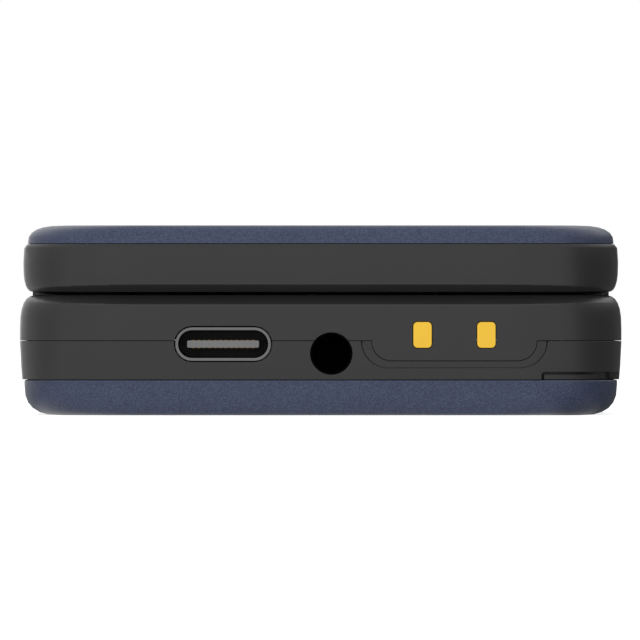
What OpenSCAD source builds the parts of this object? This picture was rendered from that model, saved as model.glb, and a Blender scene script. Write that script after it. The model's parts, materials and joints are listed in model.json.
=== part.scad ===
// A folding phone, closed. The charging end faces -Y, the hinge is at +Y, the lid lies on top.
// All sizes are in millimetres. The origin is under the middle of the base, on the surface
// that the phone lies on.

/* [Case] */
// Width of the base across its widest line
body_w = 55.94; // [54.5:0.02:60]
// Length from the charging end to the hinge end
body_l = 108; // [107:0.5:116]
// Height of the battery cover's side
cover_h = 3.33; // [3.2:0.01:4]
// Height of the rear housing's side band
rear_h = 3.57; // [3.5:0.01:4.4]
// Height of the keypad housing above the middle seam
front_h = 4.25; // [4.2:0.01:5]
// Gap between the closed halves
part_gap = 0.3; // [0.25:0.01:0.5]
// Height of the lid housing's side
lid_h = 4.45; // [4.4:0.01:5]
// Height of the lid's outer cover
lid_cover_h = 1.73; // [1.7:0.01:2.2]
// How far the lid's side stays inside the base's
lid_side_step = 0.31; // [0.1:0.01:0.8]
// How far the lid's front edge stays behind the base's
lid_setback = 0.3; // [0:0.05:1]
// Corner radius at the charging end, seen from above
front_corner_r = 10; // [8:0.5:11]
// Corner radius of the base at the hinge end, seen from above
rear_corner_r = 5; // [4:0.5:6]
// Corner radius of the lid beside the hinge ears
lid_rear_corner_r = 1.5; // [1:0.1:2.5]
// Thickness of the housings' outer walls
wall = 1.5; // [1.3:0.05:1.7]
// Thickness of the battery cover's side wall
cover_wall = 1.3; // [1:0.05:1.5]
// Thickness of the battery cover's floor
cover_floor = 1.15; // [0.9:0.05:1.3]
// Thickness of the rear housing's inner walls and ribs
rib = 1; // [0.8:0.05:1.2]
// Line that is left open where two shells meet
seam_gap = 0.05; // [0.03:0.01:0.08]
// Clearance of a piece that drops into its seat
fit = 0.1; // [0.05:0.01:0.15]

/* [Soft edges] */
// Squareness of the edge curves, where 2 is an ellipse
edge_power = 2.7; // [2:0.1:3.5]
// How far the two blue covers curve in at their long sides
cover_side_in = 3.5; // [3:0.1:5.5]
// How far the two blue covers curve in at their ends
cover_end_in = 1.2; // [0.6:0.1:2]
// Upright part of the battery cover's side
cover_upright = 0.38; // [0.2:0.01:0.8]
// How far the battery cover's side stays inside the housing's
cover_step = 0.4; // [0.2:0.01:0.7]
// How far the lid cover's side stays inside the lid housing's
lid_cover_step = 0.41; // [0.2:0.01:0.7]
// How far the base's rim curves in at the parting line
rim_in = 1.5; // [0.8:0.05:1.8]
// Height over which the base's rim curves in
rim_rise = 3.15; // [2:0.05:3.5]
// How far the lid's rim curves in at the parting line
lid_rim_in = 1; // [0.5:0.05:1.2]
// Height over which the lid's rim curves in
lid_rim_rise = 2.6; // [1.8:0.05:2.7]
// How far the lid housing's upper edge curves in
lid_brow_in = 0.35; // [0.2:0.01:0.5]
// Height over which the lid housing's upper edge curves in
lid_brow_rise = 1.6; // [1:0.05:1.7]
// How much narrower the rear band is at its lower edge, on each side
band_taper = 0.21; // [0.1:0.01:0.4]
// Share of the side's inward curve that the end faces take
end_share = 0.3; // [0.1:0.05:0.5]
// Height of the base's lip at the charging end, above the middle seam
base_lip = 3.39; // [3.2:0.01:3.8]
// Height of the lid's lip at the charging end, above the lid's lowest edge
lid_lip = 0.67; // [0.4:0.01:0.9]
// How far the finger wedge cuts into the base at the charging end
wedge_in = 1.5; // [1.2:0.05:1.8]
// How far the finger wedge cuts into the lid at the charging end
lid_wedge_in = 1; // [0.8:0.05:1.2]
// Share of these depths that the wedge's slope has at the sides
wedge_side = 0.6; // [0.5:0.05:0.65]

/* [Hinge] */
// Outer radius of the hinge ears and of the lid's barrel
hinge_r = 4.6; // [4.4:0.05:4.7]
// Running gap round the barrel and round the ears
hinge_gap = 0.35; // [0.3:0.01:0.5]
// Length of the lid's barrel, as a share of the base's width
barrel_share = 0.39; // [0.37:0.005:0.42]
// Gap between the barrel's end and an ear
barrel_side_gap = 0.25; // [0.15:0.01:0.35]
// How far the ears' ends stay inside the base's widest line
ear_inset = 0.27; // [0.2:0.01:0.6]
// Chamfer at the ears' outer ends
ear_chamfer = 0.5; // [0.3:0.05:0.8]
// Distance from the hinge axis to the lid's rear face
lid_rear_back = 4.4; // [4.3:0.05:4.7]
// Radius of the hinge cartridge's case
cartridge_r = 3; // [2.8:0.05:3.3]
// Length of the hinge cartridge's case
cartridge_l = 9.7; // [8:0.1:9.8]
// Radius of the hinge shaft
shaft_r = 2; // [1.8:0.05:2.1]
// Width of the shaft's square head
shaft_head_w = 3.4; // [3:0.05:3.6]
// Length of the shaft's square head
shaft_head_l = 4.4; // [3.5:0.1:5]
// Outer radius of the hollow hinge bush
bush_r = 2.4; // [2.2:0.05:2.6]
// Inner radius of the hollow hinge bush
bush_bore_r = 1.6; // [1.4:0.05:1.8]
// Length of the bush inside the barrel, and again inside the ear
bush_half_l = 6; // [4:0.1:7]
// Radial clearance of the turning fits
running_gap = 0.06; // [0.03:0.01:0.08]
// Thickness of the flexible circuit over the hinge
flex_t = 0.15; // [0.1:0.01:0.2]
// Width of the flexible circuit
flex_w = 2.2; // [1.6:0.1:2.6]
// Length of its lid side inside the barrel
flex_reach = 4.6; // [4:0.1:5]

/* [Charging end] */
// Middle of the charging socket from the centre line, as a share of the base's width
usb_share = -0.1618; // [-0.18:0.0001:-0.15]
// Distance of the charging socket's middle below the middle seam
usb_drop = 0.28; // [0:0.01:0.4]
// Width of the charging socket's shell
usb_w = 8.94; // [8.9:0.01:9]
// Height of the charging socket's shell
usb_h = 3.16; // [3.1:0.01:3.2]
// Sheet thickness of the charging socket's shell
usb_sheet = 0.3; // [0.25:0.01:0.35]
// Length of the charging socket's shell
usb_l = 7.3; // [6.8:0.1:8]
// Width of the charging socket's tongue
usb_tongue_w = 6.69; // [6.6:0.01:6.8]
// Thickness of the charging socket's tongue
usb_tongue_h = 0.7; // [0.65:0.01:0.75]
// Middle of the audio socket from the centre line, as a share of the base's width
jack_share = 0.0175; // [0:0.0005:0.022]
// Distance of the audio socket's middle below the middle seam
jack_drop = 1.16; // [1:0.01:1.2]
// Radius of the hole in the housings for the audio plug
jack_hole_r = 1.97; // [1.97:0.01:2.1]
// Radius of the audio socket's bore
jack_bore_r = 1.8; // [1.76:0.01:1.8]
// Depth of the audio socket's bore
jack_bore_l = 13; // [12:0.1:13.5]
// Width of the audio socket's body
jack_w = 6.2; // [5.6:0.1:6.6]
// Height of the audio socket's body
jack_h = 4.7; // [4.4:0.05:4.8]
// Middle of the contact tab from the centre line, as a share of the base's width
tab_share = 0.2215; // [0.21:0.0005:0.235]
// Width of the contact tab
tab_w = 15.3; // [14.5:0.05:16]
// How far the contact tab drops below the middle seam
tab_drop = 1.81; // [1.6:0.01:2]
// Radius of the contact tab's lower corners
tab_corner_r = 1.8; // [1:0.05:1.8]
// Distance from the tab to the fine line round it
tab_line_off = 0.63; // [0.5:0.01:0.8]
// Width and depth of the fine line round the tab
tab_line = 0.1; // [0.06:0.01:0.14]
// Distance between the two charging contacts
contact_pitch = 5.92; // [5:0.02:7]
// Width of a charging contact
contact_w = 1.74; // [1.5:0.02:2]
// Height of a charging contact
contact_h = 2.43; // [2.2:0.01:2.6]
// Height of the contacts' middle above the middle seam
contact_rise = 0.57; // [0.4:0.01:0.7]
// Corner radius of a charging contact's face
contact_corner_r = 0.4; // [0.2:0.05:0.6]
// Where the notch for opening the battery cover starts, from the base's side
notch_side = 7.5; // [6:0.02:9]
// Height of that notch
notch_h = 0.7; // [0.5:0.05:0.9]
// Depth of that notch
notch_depth = 0.9; // [0.8:0.05:1.2]
// Depth of the nail's rest inside that notch
notch_rest = 0.3; // [0.2:0.05:0.5]
// Width of the channel round the nail's rest
notch_channel = 0.22; // [0.15:0.01:0.3]
// How far that notch runs back along the side
notch_l = 9; // [7:0.5:14]

/* [Keypad] */
// Width of the rim beside the keypad's floor
deck_rim = 3.1; // [2.6:0.05:3.3]
// Distance from the charging end to the keypad's floor
deck_start = 11.5; // [10:0.1:11.8]
// Distance from the keypad's floor to the hinge end
deck_stop = 15.6; // [15:0.1:16]
// Depth of the keypad's floor below the rim
deck_recess = 0.55; // [0.4:0.01:0.6]
// Thickness of the keypad's floor
deck_t = 0.68; // [0.6:0.01:0.8]
// Distance from the floor's sides to the keys
key_side = 1.2; // [1:0.05:2.5]
// Distance from the floor's front edge to the first row
key_front = 1; // [0.8:0.05:3]
// Distance from the last row to the floor's rear edge
key_rest = 6.2; // [2:0.1:9]
// Gap between the columns of number keys
key_column_gap = 1.2; // [1:0.05:2.5]
// Gap between the rows of number keys
key_row_gap = 1.6; // [1:0.05:2.5]
// Gap between the number keys and the keys above them
block_gap = 2.3; // [1.2:0.05:4]
// Gap between a soft key and the call or end key
command_gap = 1.8; // [1:0.05:3]
// Depth of a soft, call or end key, as a share of a number key's
command_ratio = 1.52; // [1.4:0.01:1.7]
// Outer radius of the four-way ring, as a share of the floor's width
nav_share = 0.221; // [0.19:0.001:0.23]
// Radius of the OK key, as a share of the ring's
ok_share = 0.42; // [0.35:0.01:0.5]
// Gap between the ring and the keys beside it
nav_gap = 1.1; // [1:0.05:2]
// Corner radius of a key
key_corner_r = 2; // [1:0.1:3]
// How far a key stands above the keypad's floor
key_proud = 0.6; // [0.45:0.01:0.65]
// How far a key travels when it is pressed
key_travel = 0.3; // [0.2:0.01:0.35]
// Clearance round a key in its opening
key_gap = 0.12; // [0.08:0.01:0.15]
// Width of the flange that keeps a key in
key_flange = 0.45; // [0.3:0.01:0.5]
// Thickness of that flange
key_flange_t = 0.2; // [0.15:0.01:0.25]
// Soft edge on top of a key
key_edge = 0.35; // [0.2:0.05:0.5]
// Length of a volume key
volume_l = 9; // [7:0.1:10]
// Height of a volume key
volume_h = 1.9; // [1.5:0.05:2]
// Distance between the volume keys' middles
volume_pitch = 11; // [10.6:0.1:12]
// Distance from the hinge axis to the middle of the volume keys
volume_back = 24; // [20:0.5:30]

/* [Inside the base] */
// Distance from the battery to the base's side
battery_side = 8.97; // [8.5:0.01:11]
// Distance from the charging end to the battery
battery_start = 21.5; // [21.2:0.1:23]
// Distance from the battery to the hinge end
battery_stop = 30.5; // [30:0.1:34]
// Clearance round the battery
battery_gap = 0.35; // [0.2:0.01:0.4]
// Thickness of the rear housing's deck over the battery
rear_deck = 0.75; // [0.6:0.01:0.9]
// Width of the microphone
mic_w = 3.5; // [3:0.1:4]
// Depth of the microphone
mic_d = 2.6; // [2:0.1:3]
// Width of the battery's plug block
plug_w = 10; // [8:0.1:12]
// Depth of the battery's plug block
plug_d = 3.3; // [2.5:0.05:4]
// Gap between the two shield cans
can_gap = 3; // [1:0.1:6]
// Length of the left shield can, as a share of the battery's
can_share = 0.52; // [0.3:0.01:0.6]
// Thickness of the main board
board_t = 0.8; // [0.6:0.01:1]
// Thickness of the silicone keypad mat
mat_t = 0.3; // [0.25:0.01:0.35]
// Thickness of the dome sheet
sheet_t = 0.1; // [0.08:0.01:0.15]
// Height of a dome
dome_h = 0.2; // [0.15:0.01:0.25]
// Radius of a dome
dome_r = 2; // [1.5:0.1:2.5]
// Distance of the base screws from the long sides
screw_side = 5.67; // [5.5:0.01:6]
// Distance of the front screws from the charging end
screw_front = 6.5; // [6:0.1:7]
// Distance of the rear screws from the hinge axis
screw_rear = 8.9; // [8.7:0.1:9.2]
// Radius of a screw's thread
screw_r = 0.7; // [0.6:0.01:0.75]
// Radius of a screw's head
screw_head_r = 1.35; // [1.2:0.01:1.4]
// Height of a screw's head
screw_head_h = 0.6; // [0.5:0.01:0.7]
// Width of the loudspeaker, as a share of the rear compartment's
speaker_share = 0.37; // [0.3:0.005:0.375]
// Depth of the loudspeaker
speaker_d = 11; // [9:0.1:11]
// Height of the loudspeaker
speaker_h = 3.2; // [2.8:0.05:3.5]
// Number of sound slots
slot_n = 6; // [4:1:7]
// Width of a sound slot
slot_w = 1; // [0.8:0.05:1.1]
// Width of the vibration motor, as a share of the rear compartment's
motor_share = 0.196; // [0.16:0.002:0.2]
// Height of the vibration motor
motor_h = 2.8; // [2.5:0.05:3.2]
// Width of the card holder, as a share of the rear compartment's
card_share = 0.32; // [0.29:0.005:0.325]
// Depth of the card holder
card_d = 12.5; // [11:0.1:13]
// Height of the card holder
card_h = 1.5; // [1.3:0.01:1.6]

/* [Lid] */
// Width of the lid's rim round its inner face
lid_rim_w = 1.6; // [1.4:0.05:1.8]
// Depth of the lid's inner face behind its rim
lid_recess = 0.3; // [0.2:0.01:0.35]
// Thickness of the lid's inner floor
lid_floor = 1.2; // [1.1:0.01:1.3]
// Thickness of the lid housing's walls
lid_wall = 1.4; // [1.3:0.05:1.5]
// Distance from the lid's side to the display glass
glass_side = 2.66; // [2.5:0.02:4]
// Distance from the lid's front edge to the display glass
glass_start = 13.2; // [13:0.1:14]
// Distance from the display glass to the lid's rear face
glass_stop = 6.5; // [6.4:0.1:8]
// Corner radius of the display glass
glass_corner_r = 3; // [1.5:0.1:4]
// Thickness of the display glass
glass_t = 0.65; // [0.55:0.01:0.7]
// How far the display panel's side stays inside the glass's
panel_side = 1; // [0.6:0.05:2]
// How far the display panel's end stays inside the glass's
panel_end = 6.5; // [6.3:0.1:8]
// Thickness of the display panel
panel_t = 1.8; // [1.6:0.01:1.9]
// Dark border beside the picture area
view_side = 2; // [1.5:0.05:3]
// Dark border at the ends of the picture area
view_end = 3.5; // [3:0.05:5]
// Width of the lid board, as a share of the display panel's
board_share = 0.667; // [0.5:0.001:0.72]
// Width of the outer window, as a share of the lid's
outer_share = 0.687; // [0.6:0.001:0.72]
// Length of the outer window
outer_l = 30; // [26:0.1:32]
// Thickness of the outer window
outer_t = 0.55; // [0.45:0.01:0.6]
// Distance between the outer window and the camera window
outer_gap = 10.6; // [4:0.1:14]
// Ledge that the outer window rests on
outer_ledge = 3; // [2:0.1:4]
// Thickness of the lid cover's top
lid_top_t = 1.03; // [0.95:0.01:1.1]
// Radius of the camera window
camera_r = 3.6; // [3:0.1:3.8]
// Width of the camera module
camera_w = 7.6; // [7:0.1:7.8]
// Distance of the camera from the centre line
camera_x = -8; // [-10:0.1:-7.2]
// Distance of the camera from the hinge axis
camera_back = 12.2; // [12:0.1:12.6]
// Radius of the flash lens
flash_r = 1.5; // [1.2:0.05:1.7]
// Distance between the camera and the flash lens
flash_pitch = 8.5; // [7:0.1:9]
// Width of the earpiece
earpiece_w = 12; // [10:0.1:13]
// Depth of the earpiece
earpiece_d = 5; // [4:0.1:5]
// Height of the earpiece
earpiece_h = 2.15; // [1.8:0.05:2.5]
// Width of the earpiece's sound slot
earpiece_slot = 1.4; // [1:0.05:2]
// Distance from the lid's front edge to the earpiece's middle
earpiece_start = 7.2; // [6.6:0.1:7.6]
// Width of the closing magnet
magnet_w = 6; // [5:0.1:7]
// Depth of the closing magnet
magnet_d = 3; // [2:0.1:4]
// Thickness of the closing magnet
magnet_h = 1.4; // [1:0.05:1.8]
// Gap between the earpiece and the closing magnet
magnet_gap = 2.5; // [1:0.1:3]
// Radius of a bumper
bumper_r = 2.3; // [2:0.05:2.4]
// Distance of the lid screws from the lid's long sides
lid_screw_side = 7.6; // [7:0.1:8]
// Distance of the front lid screws from the lid's front edge
lid_screw_front = 8.2; // [8:0.1:8.6]
// Distance of the rear lid screws from the hinge axis
lid_screw_rear = 8.4; // [8.3:0.05:8.6]

/* [Hidden] */

corner_steps = 8;
edge_steps = 6;
round_fn = 48;
over = 1;        // how far a cutter runs past the face it cuts

// Colours
cover_blue = [0.28, 0.31, 0.38];
case_grey = [0.25, 0.25, 0.25];
key_grey = [0.33, 0.33, 0.34];
steel = [0.72, 0.72, 0.74];
gold = [0.95, 0.76, 0.24];
board_green = [0.1, 0.32, 0.2];
film = [0.75, 0.45, 0.15];
black = [0.06, 0.06, 0.07];

// Heights of the layers
seam_mid = cover_h + rear_h;
base_top = seam_mid + front_h;
lid_low = base_top + part_gap;
lid_seam = lid_low + lid_h;
lid_top = lid_seam + lid_cover_h;
axis_z = base_top + part_gap / 2;

// Plan of the base and of the lid
half_w = body_w / 2;
half_l = body_l / 2;
front_y = -half_l;
axis_y = half_l - hinge_r;
lid_half_w = half_w - lid_side_step;
lid_front = front_y + lid_setback;
lid_rear = axis_y - lid_rear_back;
base_plan = [half_w, front_y, half_l, front_corner_r, rear_corner_r];
lid_plan = [lid_half_w, lid_front, lid_rear, front_corner_r, lid_rear_corner_r];
ear_x = half_w - ear_inset;
barrel_x = body_w * barrel_share / 2;
ear_start = barrel_x + barrel_side_gap;
scoop_r = hinge_r + hinge_gap;

// Inside of the battery cover and the plinth that fills it
plinth_in = cover_step + cover_wall + 2.5 * fit;
plinth_z = cover_floor + 2 * fit;
hollow_z = plinth_z + rib - 0.15;
step_z = cover_h + rib;
battery_w = body_w - 2 * battery_side;
battery_l = body_l - battery_start - battery_stop;
battery_y = front_y + battery_start + battery_l / 2;
bay_rear = battery_y + battery_l / 2 + battery_gap;
bay_front = battery_y - battery_l / 2 - battery_gap;
bay_half_w = battery_w / 2 + battery_gap;
can_w = (battery_w - 2 * can_gap) / 2;
bay_top = seam_mid - rear_deck;
hollow_stop = axis_y - scoop_r - wall;

// Stack of the keypad, from the floor down
deck_top = base_top - deck_recess;
deck_low = deck_top - deck_t;
stack_gap = 0.03;
flange_top = deck_low - stack_gap;
key_low = flange_top - key_flange_t;
mat_top = key_low - key_travel - stack_gap;
mat_low = mat_top - mat_t;
dome_top = mat_low - stack_gap;
sheet_top = dome_top - dome_h;
board_top = sheet_top - sheet_t - stack_gap;
board_low = board_top - board_t;
key_top = deck_top + key_proud;
deck_y0 = front_y + deck_start;
deck_y1 = half_l - deck_stop;

// Sizes and places of the keys
keypad_w = 2 * (half_w - deck_rim);
keypad_l = deck_y1 - deck_y0;
key_w = (keypad_w - 2 * key_side - 2 * key_column_gap) / 3;
key_d = (keypad_l - key_front - 3 * key_row_gap - block_gap - command_gap - key_rest)
    / (4 + 2 * command_ratio);
command_d = key_d * command_ratio;
nav_r = keypad_w * nav_share;
ok_r = nav_r * ok_share;
command_w = keypad_w / 2 - key_side - nav_r - nav_gap;
command_x = keypad_w / 2 - key_side - command_w / 2;
key_pitch_x = key_w + key_column_gap;
key_pitch_y = key_d + key_row_gap;
key_y0 = deck_y0 + key_front + key_d / 2;
call_y = key_y0 + 3 * key_pitch_y + key_d / 2 + block_gap + command_d / 2;
soft_y = call_y + command_d + command_gap;
nav_y = (call_y + soft_y) / 2;
nav_hole_r = ok_r + 2 * key_gap;
number_keys = [
    ["key_star", -1, 0], ["key_0", 0, 0], ["key_hash", 1, 0],
    ["key_7", -1, 1], ["key_8", 0, 1], ["key_9", 1, 1],
    ["key_4", -1, 2], ["key_5", 0, 2], ["key_6", 1, 2],
    ["key_1", -1, 3], ["key_2", 0, 3], ["key_3", 1, 3]
];
command_keys = [
    ["call_key", -1, call_y], ["end_key", 1, call_y],
    ["soft_key_left", -1, soft_y], ["soft_key_right", 1, soft_y]
];
volume_y = axis_y - volume_back;
volume_z = (seam_mid + deck_low) / 2;
volume_keys = [["volume_up_key", 1], ["volume_down_key", -1]];

// Charging end
usb_x = body_w * usb_share;
jack_x = body_w * jack_share;
tab_x = body_w * tab_share;
notch_x = half_w - notch_side;
usb_z = seam_mid - usb_drop;
usb_front = front_y + 0.2;
jack_z = seam_mid - jack_drop;
jack_front = front_y + wall + seam_gap;
contact_z = seam_mid + contact_rise;
contact_back = front_y + wall + 0.2;
contact_xs = [tab_x - contact_pitch / 2, tab_x + contact_pitch / 2];
mic_x = tab_x;
mic_y = deck_y0 - mic_d / 2 - 1.1;

// Screws of the base
screw_x = half_w - screw_side;
screw_ys = [front_y + screw_front, axis_y - screw_rear];
boss_r = screw_r + 1;
pillar_r = screw_head_r + 0.55;
screw_seat = plinth_z + 1;
screw_tip = board_low + 0.5;

// Rear compartment of the base
rear_start = bay_rear + rib;
rear_mid_y = (rear_start + hollow_stop) / 2;
rear_half_w = screw_x - pillar_r;
speaker_w = 2 * rear_half_w * speaker_share;
motor_r = rear_half_w * motor_share;
card_w = 2 * rear_half_w * card_share;
card_x = rear_half_w - rib - fit - card_w / 2;
card_wall_x = card_x - card_w / 2 - fit - rib;
card_pocket_top = plinth_z + card_h + 2 * fit;
speaker_x = speaker_w / 2 + fit - rear_half_w;
motor_x = (speaker_x + speaker_w / 2 + card_wall_x) / 2;
slot_pitch = speaker_w / (slot_n + 1);

// Flexible circuit over the hinge
flex_x = ear_start + bush_half_l + 0.4;
flex_y = axis_y - 0.6;
flex_low = seam_mid - 0.6;
flex_half_h = 0.8;
flex_meet_x = barrel_x - bush_half_l + 2;
flex_lid_x = flex_meet_x - flex_reach;

// Lid
face_z = lid_low + lid_recess;
floor_top = face_z + lid_floor;
glass_w = 2 * (lid_half_w - glass_side);
glass_l = lid_rear - lid_front - glass_start - glass_stop;
glass_y = lid_front + glass_start + glass_l / 2;
panel_w = glass_w - 2 * panel_side;
panel_l = glass_l - 2 * panel_end;
view_w = panel_w - 2 * view_side;
view_l = panel_l - 2 * view_end;
glass_seat = face_z + glass_t + fit / 2;
panel_z = floor_top + stack_gap;
lid_board_t = 0.6;
lid_board_z = panel_z + panel_t + 0.15;
lid_board_top = lid_board_z + lid_board_t;
cover_low = lid_seam + seam_gap;
cover_in_z = lid_top - lid_top_t;
outer_seat = lid_top - outer_t - 0.05;
camera_y = axis_y - camera_back;
outer_w = 2 * lid_half_w * outer_share;
outer_y = camera_y - camera_r - outer_gap - outer_l / 2;
lid_board_front = glass_y - panel_l / 2;
lid_board_rear = camera_y + camera_w / 2 + 2 * fit;
flash_x = camera_x + flash_pitch;
lid_screw_x = lid_half_w - lid_screw_side;
lid_screw_ys = [lid_front + lid_screw_front, axis_y - lid_screw_rear];
lid_screw_seat = floor_top - 0.05;
lid_post_top = floor_top + 1;
earpiece_y = lid_front + earpiece_start;
bumper_low = base_top + 0.05;

// ---- Outlines ----

// Quarter circle of points about [cx, cy], starting at angle a0
function corner(cx, cy, r, a0, n) =
    [for (i = [0 : n]) [cx + r * cos(a0 + 90 * i / n), cy + r * sin(a0 + 90 * i / n)]];

// Rounded outline from y0 to y1, with radius r0 at y0 and r1 at y1, counter-clockwise
function outline(half, y0, y1, r0, r1, n = corner_steps) = concat(
    corner(half - r1, y1 - r1, r1, 0, n), corner(r1 - half, y1 - r1, r1, 90, n),
    corner(r0 - half, y0 + r0, r0, 180, n), corner(half - r0, y0 + r0, r0, 270, n));

// Rounded rectangle about [x, y]
function plate_outline(x, y, w, d, r, n = 4) =
    [for (p = outline(w / 2, -d / 2, d / 2, r, r, n)) [x + p[0], y + p[1]]];

// A plan that is stepped in at the sides and at the ends
function step_in(plan, side, end) = [
    plan[0] - side, plan[1] + end, plan[2] - end,
    max(plan[3] - (side + end) / 2, 0.6), max(plan[4] - (side + end) / 2, 0.6)
];
function plan_outline(plan) = outline(plan[0], plan[1], plan[2], plan[3], plan[4]);

// One level of a shell: its height and its outline
function level(z, plan, side, end) = [z, plan_outline(step_in(plan, side, end))];

// The edge curve, a quarter of a squarish ellipse, at step k of edge_steps
function edge_rise(k) = pow(sin(90 * k / edge_steps), 2 / edge_power);
function edge_in(k) = 1 - pow(cos(90 * k / edge_steps), 2 / edge_power);

// ---- Basic solids ----

module block(x0, x1, y0, y1, z0, z1) {
    translate([x0, y0, z0]) cube([x1 - x0, y1 - y0, z1 - z0]);
}

// A stack of outlines with equal numbers of points, closed at both ends
module loft(levels) {
    n = len(levels[0][1]);
    top = (len(levels) - 1) * n;
    points = [for (l = levels) for (p = l[1]) [p[0], p[1], l[0]]];
    sides = [for (j = [0 : len(levels) - 2]) for (i = [0 : n - 1])
        let (a = j * n + i, b = j * n + (i + 1) % n) each [[a, a + n, b + n], [a, b + n, b]]];
    caps = [[for (i = [0 : n - 1]) i], [for (i = [n - 1 : -1 : 0]) top + i]];
    polyhedron(points, concat(sides, caps));
}

module plan_prism(plan, inset, z0, z1) {
    translate([0, 0, z0]) linear_extrude(z1 - z0) polygon(plan_outline(step_in(plan, inset, inset)));
}

module plate(x, y, w, d, r, z0, z1) {
    translate([0, 0, z0]) linear_extrude(z1 - z0) polygon(plate_outline(x, y, w, d, r));
}

// A profile in X and Z, run along Y
module along_y(points, y0, y1) {
    translate([0, y1, 0]) rotate([90, 0, 0]) linear_extrude(y1 - y0) polygon(points);
}

// A profile in Y and Z, run along X
module along_x(points, x0, x1) {
    translate([x0, 0, 0]) rotate([90, 0, 90]) linear_extrude(x1 - x0) polygon(points);
}

module y_cylinder(r, x, z, y0, y1) {
    translate([x, y1, z]) rotate([90, 0, 0]) cylinder(r = r, h = y1 - y0, $fn = round_fn);
}

// A round bar on the hinge axis
module axis_bar(r, x0, x1, r1 = undef) {
    translate([x0, axis_y, axis_z]) rotate([0, 90, 0])
        cylinder(r1 = r, r2 = is_undef(r1) ? r : r1, h = x1 - x0, $fn = round_fn);
}

module disc(r, x, y, z0, z1) {
    translate([x, y, z0]) cylinder(r = r, h = z1 - z0, $fn = round_fn);
}

module mirror_pair() {
    children();
    mirror([1, 0, 0]) children();
}

// ---- Openings that several pieces share ----

module usb_outline_cut() {
    along_y(plate_outline(usb_x, usb_z, usb_w + 2 * fit, usb_h + 2 * fit, usb_h / 2 + fit),
        front_y - over, front_y + 2 * wall + over);
}

module jack_cut() {
    y_cylinder(jack_hole_r, jack_x, jack_z, front_y - over, front_y + 2 * wall);
    block(jack_x - jack_w / 2 - fit, jack_x + jack_w / 2 + fit, jack_front - seam_gap,
        jack_front + jack_bore_l + 2, jack_z - jack_h / 2 - fit, jack_z + jack_h / 2 + fit);
}

// The contact tab's face, grown by g below and by side at its sides; it runs up above the seam
function tab_outline(g, side) =
    plate_outline(tab_x, seam_mid, tab_w + 2 * side, 2 * (tab_drop + g), tab_corner_r + g, 8);

// The notch's opening, made smaller by g
function notch_outline(g) = plate_outline(notch_x + half_w / 2, cover_h, half_w - 2 * g,
    2 * (notch_h - g), max(0.3 - g, 0.05));

// The outermost skin of the base
module skin_band(thick, z0, z1) {
    difference() {
        plan_prism(base_plan, -over, z0, z1);
        plan_prism(base_plan, thick, z0 - over, z1 + over);
    }
}

// Outline of the finger wedge's slope at height z: lip is where it starts, face where it is deep
function wedge_level(z, plan, lip, face, deep) =
    let (share = (z - lip) / (face - lip))
    level(z, plan, share * deep * wedge_side - (1 - share) * 0.2, share * deep + (1 - share) * 0.12);

module finger_wedge(plan, lip, face, deep) {
    z0 = face > lip ? lip - 0.3 : face - over;
    z1 = face > lip ? face + over : lip + 0.3;
    intersection() {
        block(-half_w - over, half_w + over, front_y - over, front_y + front_corner_r, z0, z1);
        difference() {
            plan_prism(plan, -2 * over, z0 - 0.1, z1 + 0.1);
            loft([for (z = [z0 - 0.2, z1 + 0.2]) wedge_level(z, plan, lip, face, deep)]);
        }
    }
}

module screw_places() {
    for (x = [-screw_x, screw_x]) for (y = screw_ys) translate([x, y, 0]) children();
}

module lid_screw_places() {
    for (x = [-lid_screw_x, lid_screw_x]) for (y = lid_screw_ys) translate([x, y, 0]) children();
}

// ---- Base: housings ----

module base_front_housing() {
    rise = min(rim_rise, front_h - 0.6);
    color(case_grey) difference() {
        union() {
            difference() {
                loft(concat([level(seam_mid - tab_drop - 2 * seam_gap, base_plan, 0, 0)],
                    [for (k = [0 : edge_steps]) level(base_top - rise + rise * edge_rise(k), base_plan,
                        rim_in * edge_in(k), rim_in * end_share * edge_in(k))]));
                intersection() {
                    plan_prism(base_plan, wall, seam_mid - tab_drop - over, deck_low);
                    block(-half_w, half_w, front_y, hollow_stop, seam_mid - tab_drop - over, deck_low);
                }
                below_the_seam();
            }
            intersection() {
                mirror_pair() {
                    axis_bar(hinge_r, ear_start, ear_x - ear_chamfer);
                    axis_bar(hinge_r, ear_x - ear_chamfer, ear_x, hinge_r - ear_chamfer);
                }
                plan_prism(base_plan, ear_inset / 2, seam_mid + seam_gap, lid_top);
            }
            screw_places() disc(boss_r, 0, 0, seam_mid + seam_gap, deck_low + 0.1);
        }
        axis_bar(scoop_r, -ear_start, ear_start);
        block(-ear_start, ear_start, axis_y, half_l + over, seam_mid - over, lid_top);
        plate(0, (deck_y0 + deck_y1) / 2, keypad_w, keypad_l, 3, deck_top, lid_low);
        finger_wedge(base_plan, seam_mid + base_lip, base_top, wedge_in);
        key_openings();
        volume_openings();
        usb_outline_cut();
        jack_cut();
        contact_openings();
        disc(0.5, mic_x, mic_y, deck_low - over, lid_low);
        screw_places() disc(screw_r + 0.02, 0, 0, seam_mid - over, screw_tip + 0.2);
        // square seat of the hinge shaft in the left ear
        block(-ear_start - shaft_head_l - 0.1, -ear_start + over, axis_y - shaft_head_w / 2 - seam_gap,
            axis_y + shaft_head_w / 2 + seam_gap, axis_z - shaft_head_w / 2 - seam_gap,
            axis_z + shaft_head_w / 2 + seam_gap);
        // seat of the bush in the right ear, and the way down for the flexible circuit
        axis_bar(bush_r + seam_gap, ear_start - over, ear_start + bush_half_l);
        block(ear_start + bush_half_l - 0.1, flex_x + flex_w + 0.6, axis_y - bush_bore_r,
            axis_y + bush_bore_r, seam_mid - over, axis_z + bush_bore_r);
    }
}

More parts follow.
